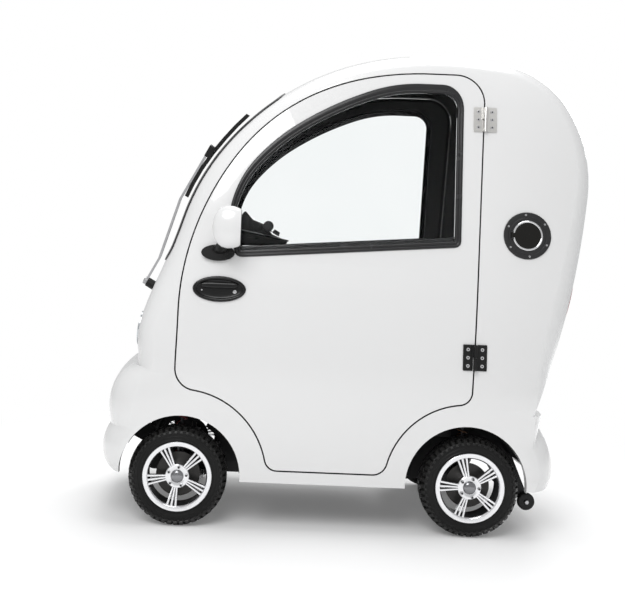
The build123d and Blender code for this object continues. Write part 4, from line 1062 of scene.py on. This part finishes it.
def shell_side(face):
    """0 for the painted outside, 1 for the inside, 2 for the faces of the door openings."""
    middle = face.calc_center_median()
    near_x, near_z = (min(max(at, low), high) for at, (low, high) in zip((middle.x, middle.z), SPINE))
    away = (middle - Vector((near_x, 0, near_z))).normalized()
    if middle.x < SKIRT_X and middle.z < SKIRT_Z:
        return 0
    if face.normal.dot(away) < -0.25:
        # in the folds over the two bumpers an outer face can look back at the cabin's middle too
        if abs(middle.x) <= FOLDS_PAST or middle.z >= FOLDS_BELOW:
            return 1
        ways = [Vector((math.copysign(1, middle.x), y, z)).normalized() for y, z in FOLD_VIEWS]
        start = middle + face.normal * 1e-4
        return 0 if any(shell_tree.ray_cast(start, way)[0] is None for way in ways) else 1
    on_arch = any(math.hypot(middle.x - x, middle.z - z) < ARCH_FACE_R for x, z in ARCH_CENTRES)
    crosswise = abs(face.normal.y) < 0.01 and abs(middle.y) > DOOR_EDGE_Y
    in_span = DOOR_SPAN[0] < middle.x < DOOR_SPAN[1] and middle.z > SILL_Z
    # the faces of the door openings take the black edge, partly painted shade for the shut gap
    return 2 if crosswise and in_span and not on_arch else 0


def door_side(face):
    """0 for the painted outside of a door, 1 for its inside, 2 for its edges."""
    outward = face.normal.y * math.copysign(1, face.calc_center_median().y)
    if abs(outward) < 0.5:
        # the door's edge faces are black, painted shade for the shut gap
        return 2
    return 0 if outward > 0 else 1


LINER_WALL = 1.6 * MM
LINER_R = 0.2008
LINER_DEPTH = (0.174, 0.346)
# degrees from level, rearwards first, and the stretches where a wall closes the well's inner side
LINERS = [((4, 150), [(4, 60), (70, 113), (131, 153)]), ((26, 184), [(26, 184)])]
WALL_R = 0.150
WALL_Y = 0.172


def arch_band(arch, hand, turns, steps, corners):
    """A band swept round an arch; its corners give a radius and a place across."""
    rings = []
    for step in range(steps + 1):
        angle = math.radians(turns[0] + (turns[1] - turns[0]) * step / steps)
        out = Vector((-math.cos(angle), 0, math.sin(angle)))
        rings.append([Vector((arch[0], hand * y, arch[1])) + out * radius for radius, y in corners])
    return skin_rings(rings, cap=True)


inner_r = LINER_R - LINER_WALL
near_y, far_y = LINER_DEPTH
shelf = [(LINER_R, far_y), (inner_r, far_y), (inner_r, near_y), (LINER_R, near_y)]
back_y = WALL_Y + LINER_WALL
wall = [(LINER_R, WALL_Y), (WALL_R, WALL_Y), (WALL_R, back_y), (LINER_R, back_y)]
liners = []
for (turns, walls), arch in zip(LINERS, ARCH_CENTRES):
    for hand in (-1, 1):
        liners.append(arch_band(arch, hand, turns, 48, shelf))
        liners += [arch_band(arch, hand, stretch, 16, wall) for stretch in walls]
clad("body_shell", body_white, resin_black, edge_rubber_and_gap_shade, pick=shell_side)
set_piece("arch_liners", merged(liners), [resin_black], "root")
for side, hand in SIDES:
    clad(f"door_panel_{side}", body_white, resin_black, edge_rubber_and_gap_shade, pick=door_side)
    clad(f"door_lining_{side}", felt_black)

# Door windows: clear panes held in black rubber frames that are sculpted with an outer lip, a
# groove and a rounded bead.
WINDOW_START = (-244.0, 1507.0)
WINDOW_REAR = [((-382.0, 1507.0), 68.0), ((-375.0, 968.0), 16.0), ((374.0, 906.0), 20.0)]
WINDOW_ARCS = [(-71, 1477), (179, 1351), (320, 1225), (395, 1065)]
FLANK = ((350.0, 60.0), (372.0, 500.0), (349.0, 880.0))  # half width and height of the side face
SEAL_SECTION = [
    # inset from the outline and height over the door's face
    (0.6, -11), (0.6, 0.2), (-5.0, 0.4), (-5.2, 2.4), (-3.4, 4.4), (0.6, 5.0), (3.6, 4.4), (4.8, 2.6),
    (6.4, 2.4),
    (7.8, 4.4), (10.4, 5.2), (13.6, 4.6), (15.8, 2.6), (16.8, 0.4), (17.0, -11),
]
FRAME_STEP = 9.0
LIP_GROWTH = 1.9  # the lip is wider where the frame runs along the roof
RAIL_ENDS = ((372.0, 906.0), (-373.0, 968.0))
RAIL_SECTION = [(-6, -15), (30, -15), (34, -19), (34, -27), (30, -31), (-6, -31)]  # lift and depth
PANE_TINTS = ((0.93, 0.95, 0.95, 1), (0.97, 0.98, 0.98, 1))
PANE_IOR = 1.08


def arc_between(start, end, heading):
    """Points of the arc that leaves start along heading and ends at end, and its last heading."""
    chord = Vector(end) - start
    left = Vector((-heading.y, heading.x))
    lean = math.atan2(chord.dot(left), chord.dot(heading))
    radius = chord.length / (2 * math.sin(lean))
    centre = start + left * radius
    steps = max(2, round(abs(radius * 2 * lean) / FRAME_STEP))
    turns = [Matrix.Rotation(2 * lean * (index + 1) / steps, 2) for index in range(steps)]
    return [centre + turn @ (start - centre) for turn in turns], turns[-1] @ heading


def rounded_corner(before, corner, after, radius, count=10):
    """Points of a fillet at a corner."""
    before, corner, after = Vector(before), Vector(corner), Vector(after)
    one = (before - corner).normalized()
    two = (after - corner).normalized()
    half = math.acos(max(-1, min(1, one.dot(two)))) / 2
    reach = radius / math.tan(half)
    middle = (one + two).normalized() * radius / math.sin(half)
    start, end = one * reach - middle, two * reach - middle
    sweep = math.atan2(start.x * end.y - start.y * end.x, start.dot(end))
    return [corner + middle + Matrix.Rotation(sweep * k / count, 2) @ start for k in range(count + 1)]


def even_loop(points, step):
    """A closed line sampled again at even steps."""
    loop = points + [points[0]]
    lengths = [0.0]
    for near, far in zip(loop, loop[1:]):
        lengths.append(lengths[-1] + (far - near).length)
    count = round(lengths[-1] / step)
    result = []
    place = 0
    for index in range(count):
        target = lengths[-1] * index / count
        while lengths[place + 1] < target:
            place += 1
        share = (target - lengths[place]) / max(lengths[place + 1] - lengths[place], 1e-9)
        result.append(loop[place].lerp(loop[place + 1], share))
    return result


def window_loop():
    """The window's outline in side view, in the drawing's millimetres."""
    upper = [Vector(WINDOW_START)]
    heading = Vector((1, 0))
    for end in WINDOW_ARCS:
        points, heading = arc_between(upper[-1], end, heading)
        upper += points
    (top_rear, top_r), (base_rear, rear_r), (base_front, front_r) = WINDOW_REAR
    front = rounded_corner(base_rear, base_front, upper[-1], front_r)
    while (upper[-1] - Vector(base_front)).length < (front[-1] - Vector(base_front)).length:
        upper.pop()
    back = rounded_corner(WINDOW_START, top_rear, base_rear, top_r)
    low = rounded_corner(top_rear, base_rear, base_front, rear_r)
    loop = even_loop(upper + front[::-1] + low[::-1] + back[::-1], FRAME_STEP)
    turning = sum(a.x * b.y - b.x * a.y for a, b in zip(loop, loop[1:] + loop[:1]))
    return loop[::-1] if turning > 0 else loop


def circle_through(points):
    """Centre and radius of the circle through three points."""
    (ax, ay), (bx, by), (cx, cy) = points
    a2, b2, c2 = (x**2 + y**2 for x, y in points)
    d = 2 * (ax * (by - cy) + bx * (cy - ay) + cx * (ay - by))
    ux = (a2 * (by - cy) + b2 * (cy - ay) + c2 * (ay - by)) / d
    uy = (a2 * (cx - bx) + b2 * (ax - cx) + c2 * (bx - ax)) / d
    return ux, uy, math.hypot(ax - ux, ay - uy)


flank_y, flank_z, flank_r = circle_through(FLANK)
shoulder_y, shoulder_z = FLANK[2]
shoulder_lean = math.asin((shoulder_z - flank_z) / flank_r)


def on_side(x, z, height=0.0, hand=1):
    """A point in metres over the side face, from the drawing's millimetres, and the way out."""
    if z > shoulder_z:
        lean = shoulder_lean
        y = shoulder_y - math.tan(lean) * (z - shoulder_z)
    else:
        lean = math.asin((z - flank_z) / flank_r)
        y = flank_y + flank_r * math.cos(lean)
    out = Vector((0, hand * math.cos(lean), math.sin(lean)))
    return (Vector((x, hand * y, z)) + out * height) * MM + Vector((SHIFT, 0, 0)), out


def side_frame(x, z, hand):
    """A frame in millimetres on the side face, with its Z outwards and its X forward."""
    spot, out = on_side(x, z, 0.0, hand)
    return along_frame(spot, out, (1, 0, 0)) @ Matrix.Scale(MM, 4)


def loop_inset(loop, index, inset):
    """A point of a closed, clockwise loop moved inwards."""
    before, after = loop[index - 1], loop[(index + 1) % len(loop)]
    along = (after - before).normalized()
    return loop[index] + Vector((along.y, -along.x)) * inset


seal_rubber = finish(
    "seal_rubber", (0.016, 0.016, 0.017), (0.009, 0.009, 0.01), (0.2, 0.32), (700.0, 0.0001), dust=0.02,
    shine=0.4,
)
window_glass = bpy.data.materials.new("window_glass")
window_glass.use_nodes = True
tree = window_glass.node_tree
place = add_node(tree, "ShaderNodeTexCoord").outputs["Object"]
shade = {"Factor": add_node(tree, "ShaderNodeTexNoise", {"Vector": place, "Scale": 3.0})}
shade.update({"A": PANE_TINTS[0], "B": PANE_TINTS[1]})
shade = add_node(tree, "ShaderNodeMix", shade, data_type="RGBA").outputs["Result"]
wire(tree, tree.nodes["Principled BSDF"], {
    "Roughness": 0.01, "Transmission Weight": 1.0, "IOR": PANE_IOR, "Base Color": shade,
})
outline = window_loop()
for side, hand in SIDES:
    rings = []
    for index, point in enumerate(outline):
        rise = max(0.0, (point - loop_inset(outline, index, 1.0)).y)
        row = []
        for inset, height in SEAL_SECTION:
            spot = loop_inset(outline, index, inset * (1 + LIP_GROWTH * rise**2) if inset < 0 else inset)
            row.append(on_side(spot.x, spot.y, height, hand)[0])
        rings.append(row)
    seal = merged([skin_rings(rings, close_path=True)], 50)
    set_piece(f"window_frame_{side}", seal, [seal_rubber], f"door_{side}", f"door_seal_{side}")
    rings = [[on_side(x, z + lift, depth, hand)[0] for lift, depth in RAIL_SECTION] for x, z in RAIL_ENDS]
    rail = merged([skin_rings(rings, cap=True)])
    set_piece(
        f"window_rail_{side}", rail, [seal_rubber], f"door_{side}", bevel=1.5 * MM,
    )
    clad(f"door_glass_{side}", window_glass)
clad("screen_seals", seal_rubber, bevel=1.5 * MM)
clad("screens", window_glass)

# Door hinges: pressed steel leaves round a pin, bright above and painted black below, each
# leaf held by three countersunk screws.
HINGE_PINS = [(-459.0, 1404.0), (-431.0, 600.0)]
LEAF_REACH = 23.5  # from the pin to the middle of a leaf
SCREW_SEAT = 3.2
SCREW_PITCH = 27.0
SCREW_HEAD = (7.0, 2.4, 20)
BRIGHT_OVER = 1.0
hinge_bright = finish(
    "hinge_bright", (0.72, 0.71, 0.69), (0.6, 0.59, 0.57), (0.28, 0.4), (800.0, 0.00006), metallic=0.85,
)
hinge_black = finish(
    "hinge_black", (0.01, 0.01, 0.01), (0.006, 0.006, 0.006), (0.3, 0.42), (700.0, 0.0001), shine=0.25,
)
screw_steel = finish("screw_steel", (0.8, 0.8, 0.81), (0.68, 0.68, 0.69), (0.15, 0.25), metallic=1.0)


def by_height(face):
    """0 for the upper hinges, 1 for the lower ones."""
    return 0 if face.calc_center_median().z > BRIGHT_OVER else 1


for node in ("door_hinges_left", "door_hinges_right", "body_hinges"):
    clad(node, hinge_bright, hinge_black, bevel=0.7 * MM, pick=by_height)
for side, hand in SIDES:
    for leaf, label, owner in ((1, "door", f"door_{side}"), (-1, "body", "root")):
        rises = (-SCREW_PITCH, 0, SCREW_PITCH)
        spots = [(x + leaf * LEAF_REACH, z + rise) for x, z in HINGE_PINS for rise in rises]
        places, aims = zip(*(on_side(*spot, SCREW_SEAT, hand) for spot in spots))
        metals = (screw_steel, recess_dark)
        fasten(f"{label}_hinge_screws_{side}", owner, places, aims, SCREW_HEAD, 0.4, metals)

# Side ports: a black moulded flange with six screws and a groove, a bright ring and a plain
# disc that swings on a small barrel at its front edge.
PORT = (-603.0, 1011.7)
PORT_FLANGE_SECTION = [
    (0, 0.3), (79.2, 0.3), (80, 1.2), (79.6, 3.2), (77.5, 4.8), (74.5, 5.2), (66, 5.3), (64.5, 4.2),
    (62, 4.2),
    (60.5, 5.3), (56.5, 5.6), (54, 4.9), (51.6, 4.9), (50.4, 5.3), (0, 5.3),
]
PORT_RING_SECTION = [(44.6, 5.2), (44.6, 8.4), (46.2, 9.4), (49.0, 9.4), (50.4, 8.2), (50.8, 5.2)]
KNUCKLE = [(0, 0), (4, 0), (4, 5), (0, 5)]
KNUCKLE_AT = Vector((53, 0, 9.9))
KNUCKLE_SPAN = ((-13.5, -8.5), (8.5, 13.5))
PORT_SCREWS = 6
PORT_SCREW_R = 70.5
PORT_SCREW_HEAD = (4.0, 1.8, 16)
PORT_SEAT = 4.9
port_black = finish(
    "port_black", (0.02, 0.02, 0.021), (0.012, 0.012, 0.013), (0.26, 0.4), (900.0, 0.0002), dust=0.03,
    shine=0.35,
)
ring_chrome = finish("ring_chrome", (0.82, 0.82, 0.83), (0.74, 0.74, 0.75), (0.06, 0.14), metallic=1.0)
disc_black = finish(
    "disc_black", (0.008, 0.007, 0.006), (0.005, 0.005, 0.004), (0.16, 0.24), (600.0, 0.00005), shine=0.25,
)
flanges, chromes, places, aims = [], [], [], []
for hand in (1, -1):
    set_up = side_frame(*PORT, hand)
    flanges.append(lathe(PORT_FLANGE_SECTION, 96, set_up))
    chromes.append(lathe(PORT_RING_SECTION, 96, set_up, closed=True))
    for low, high in KNUCKLE_SPAN:
        lie = Matrix.Translation(KNUCKLE_AT + Vector((0, low, 0))) @ Matrix.Rotation(-math.pi / 2, 4, "X")
        flanges.append(lathe(KNUCKLE, 20, set_up @ lie))
        flanges.append(moved(slab((49, low, PORT_SEAT), (57, high, KNUCKLE_AT.z)), set_up))
    start = math.radians(90 + 5 * hand)
    places += [set_up @ spot for spot in on_circle(PORT_SCREWS, PORT_SCREW_R, PORT_SEAT, start)]
    aims += [on_side(*PORT, 0.0, hand)[1]] * PORT_SCREWS
set_piece("port_flange_rings", merged(flanges, 28), [port_black], "root", "port_flanges")
set_piece("port_bright_rings", merged(chromes, 40), [ring_chrome], "root")
fasten("port_screws", "root", places, aims, PORT_SCREW_HEAD, 0.4, (screw_steel, recess_dark))
for side, hand in SIDES:
    clad(f"port_cap_{side}", disc_black, bevel=0.9 * MM)

# Door handles: an oval black bezel with a dished hollow, a pull bar across its lower half and a
# bright key barrel at the rear end.
HANDLE = (425.7, 793.3)
HANDLE_HALF = (89.0, 43.0)
HANDLE_ROWS = [
    # inset of the oval and height over the door's face
    (0.0, 0.3), (0.0, 3.0), (1.2, 5.6), (4.0, 7.2), (7.5, 7.3), (10.5, 6.2), (13.0, 2.2), (18.0, 0.9),
    (34.0, 0.7),
]
PULL_HALF = (62.0, 10.0)
PULL_DROP = 12.0
PULL_ROWS = [(0.0, 0.8), (0.0, 6.5), (1.5, 9.2), (4.0, 10.6), (7.0, 11.0)]
PULL_SQUARING = 3.6
LOCK = [(0, 8.6), (2.6, 8.6), (3.0, 8.2), (5.6, 8.2), (6.4, 7.4), (6.6, 0.7), (0, 0.7)]
STUD = [(0, 6.6), (2.6, 6.2), (3.6, 4.6), (3.8, 0.7), (0, 0.7)]
LOCK_AT, STUD_AT = (-52, 8), (58, 5)
handle_black = finish(
    "handle_black", (0.008, 0.008, 0.008), (0.005, 0.005, 0.005), (0.14, 0.24), (800.0, 0.0001), shine=0.3,
)


def oval(half_x, half_y, height, corners=48, power=2.0):
    """A rounded ring of points; a power over 2 squares its ends."""
    ring = []
    for k in range(corners):
        angle = 2 * math.pi * k / corners
        x, y = (half * math.copysign(abs(share) ** (2 / power), share) for half, share in (
            (half_x, math.cos(angle)), (half_y, math.sin(angle)),
        ))
        ring.append(Vector((x, y, height)))
    return ring


def ovals(place, rows, cap=True, **shape):
    """A skin over ovals given by their two halves and their height, put in place."""
    return skin_rings([[place @ point for point in oval(*row, **shape)] for row in rows], cap=cap)


def inset_rows(half, rows):
    """The halves and height of an oval at each inset."""
    return [(half[0] - inset, half[1] - inset, height) for inset, height in rows]


for side, hand in SIDES:
    set_up = side_frame(*HANDLE, hand)
    # the frame's Y is along the slope, up on the left side and down on the right
    pull_at = set_up @ Matrix.Translation((0, -PULL_DROP * hand, 0))
    dish = ovals(set_up, inset_rows(HANDLE_HALF, HANDLE_ROWS))
    pull = ovals(pull_at, inset_rows(PULL_HALF, PULL_ROWS), power=PULL_SQUARING)
    name = f"door_handle_{side}"
    set_piece(f"{name}_pull", merged([dish, pull], 40), [handle_black], f"door_{side}", name)
    lock = lathe(LOCK, 28, set_up @ Matrix.Translation((LOCK_AT[0], LOCK_AT[1] * hand, 0)))
    stud = lathe(STUD, 24, set_up @ Matrix.Translation((STUD_AT[0], STUD_AT[1] * hand, 0)))
    set_piece(
        f"handle_lock_{side}", merged([lock, stud]), [key_chrome], f"door_{side}",
    )

# Door mirrors: a white egg-shaped shell, open to the rear, that holds a mirror glass in a black
# rim, on a black moulded foot screwed to the door.
MIRROR = (407.0, 431.3, 1000.0)
MIRROR_CORNERS = 40
# half width in y, half height and distance along x
MIRROR_ROWS = [
    (27.0, 58, -46), (29.2, 63, -40), (30.4, 68.5, -24), (30.4, 70.0, -4), (28.0, 66, 14), (23.5, 56, 28),
    (17.0, 41, 38), (10.0, 25, 44), (3.0, 8, 46.5),
]
RIM_ROWS = [
    (27.2, 58.2, -45), (26.6, 57.4, -47.4), (25.0, 55.6, -47.8), (23.6, 54.0, -46.6), (23.4, 53.6, -45),
]
GLASS_ROWS = [(24, 54.4, -46.8), (24, 54.4, -45.5)]
mirror_black = finish(
    "mirror_black", (0.008, 0.008, 0.008), (0.005, 0.005, 0.005), (0.22, 0.34), (800.0, 0.0001), shine=0.3,
)
mirror_silver = finish("mirror_silver", (0.92, 0.92, 0.92), (0.9, 0.9, 0.9), (0.01, 0.03), metallic=1.0)
for side, hand in SIDES:
    facing = Matrix(((0, 0, 1, 0), (1, 0, 0, 0), (0, 1, 0, 0), (0, 0, 0, 1)))  # local Z becomes forward
    middle = Vector((MIRROR[0] * MM + SHIFT, hand * MIRROR[1] * MM, MIRROR[2] * MM))
    set_up = Matrix.Translation(middle) @ facing @ Matrix.Scale(MM, 4)
    for name, rows, paint, crease, node, slot in (
        (f"mirror_housing_{side}_shell", MIRROR_ROWS, body_white, 50, f"mirror_housing_{side}", None),
        (f"mirror_rim_{side}", RIM_ROWS, mirror_black, 40, None, "handle_black"),
        (f"mirror_glass_{side}", GLASS_ROWS, mirror_silver, 40, None, "bright_steel"),
    ):
        skin = merged([ovals(set_up, rows, rows is not RIM_ROWS, corners=MIRROR_CORNERS)], crease)
        set_piece(name, skin, [paint], f"door_{side}", node)
    clad(f"mirror_foot_{side}", mirror_black, crease=40.0, bevel=1.5 * MM)

# Wiper: a silver painted arm on a black spindle cap, with a hinged blade carrier that holds a
# thin black squeegee.
WIPER_BASE = Vector((0.711, 0, 0.795))
WIPER_TILT = math.radians(29.2)
WIPER_PARK = math.radians(17.7)
ARM_REACH = 0.535  # along the arm, to where the blade carrier begins
BLADE_FROM = 0.36  # along the arm, to the lower end of the blade
BLADE_TOP, TOP_BEND, TOP_FALL = 0.0355, 0.56, 0.07  # its top, which falls away past the bend
JOINT_BOX = ((0.528, -0.0068, 0.0195), (0.574, 0.0068, 0.0455))
WIPER_CAP = [(0, 10.4), (5, 10.0), (9.5, 8.4), (11.5, 5.6), (12, 2), (0, 2)]
wiper_silver = finish("wiper_silver", (0.42, 0.42, 0.43), (0.34, 0.34, 0.35), (0.25, 0.35), metallic=0.6)
wiper_rubber = finish(
    "wiper_rubber", (0.01, 0.01, 0.01), (0.006, 0.006, 0.006), (0.4, 0.55), (600.0, 0.0002), shine=0.25,
)
wiper_out = Vector((math.cos(WIPER_TILT), 0, math.sin(WIPER_TILT)))
wiper_up = Vector((-math.sin(WIPER_TILT), 0, math.cos(WIPER_TILT)))
arm_along = wiper_up * math.cos(WIPER_PARK) + Vector((0, math.sin(WIPER_PARK), 0))
hub = WIPER_BASE + Vector((SHIFT, 0, 0))


def wiper_part(face):
    """0 for the arm, 1 for the blade with its joint."""
    offset = face.calc_center_median() - hub
    reach = offset.dot(arm_along)
    blade_top = BLADE_TOP - TOP_FALL * max(0, reach - TOP_BEND)
    on_blade = reach > BLADE_FROM and offset.dot(wiper_out) < blade_top
    return 1 if on_blade or reach > ARM_REACH else 0


clad("wiper_spindle", wiper_rubber, bevel=1.2 * MM)
clad("wiper_arm", wiper_silver, wiper_rubber, bevel=1.0 * MM, pick=wiper_part)
arm_turn = Matrix((arm_along, wiper_out.cross(arm_along), wiper_out)).transposed().to_4x4()
joint = moved(slab(*JOINT_BOX), Matrix.Translation(hub) @ arm_turn)
set_piece("wiper_joint", merged([joint]), [wiper_rubber], "wiper", bevel=2.5 * MM)
cap_frame = along_frame(hub, wiper_out, (0, 1, 0)) @ Matrix.Scale(MM, 4)
turned_piece("wiper_cap", [WIPER_CAP], 32, cap_frame, wiper_rubber, "wiper", crease=40)

# Lamps: clear mouldings over a bright bowl in front, ribbed red ones behind.
BULB = [(0, 3), (10, 2.6), (17, 1.0), (18.5, -2.0), (0, -2)]
BULB_DEPTH, BULB_Y, BULB_Z = 0.004, 0.205, 0.640
lamp_red = finish(
    "lamp_red", (0.42, 0.012, 0.012), (0.3, 0.008, 0.008), (0.06, 0.12), (300.0, 0.0), coat=1.0,
)
lamp_white = finish(
    "lamp_white", (0.62, 0.64, 0.66), (0.42, 0.44, 0.46), (0.1, 0.2), patch=30.0, metallic=0.85, coat=1.0,
)
lamp_bowl = finish("lamp_bowl", (0.9, 0.9, 0.91), (0.8, 0.8, 0.82), (0.04, 0.1), metallic=1.0)
clad("headlamps", lamp_white, bevel=1.5 * MM)
clad("tail_lamps", lamp_red, bevel=1.5 * MM)
for side, hand in SIDES:
    nose = Vector((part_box("headlamps")[1].x - BULB_DEPTH, hand * BULB_Y, BULB_Z))
    set_up = along_frame(nose, (1, 0, 0), (0, 1, 0)) @ Matrix.Scale(MM, 4)
    turned_piece(f"headlamp_bulb_{side}", [BULB], 32, set_up, lamp_bowl, "root", crease=30)
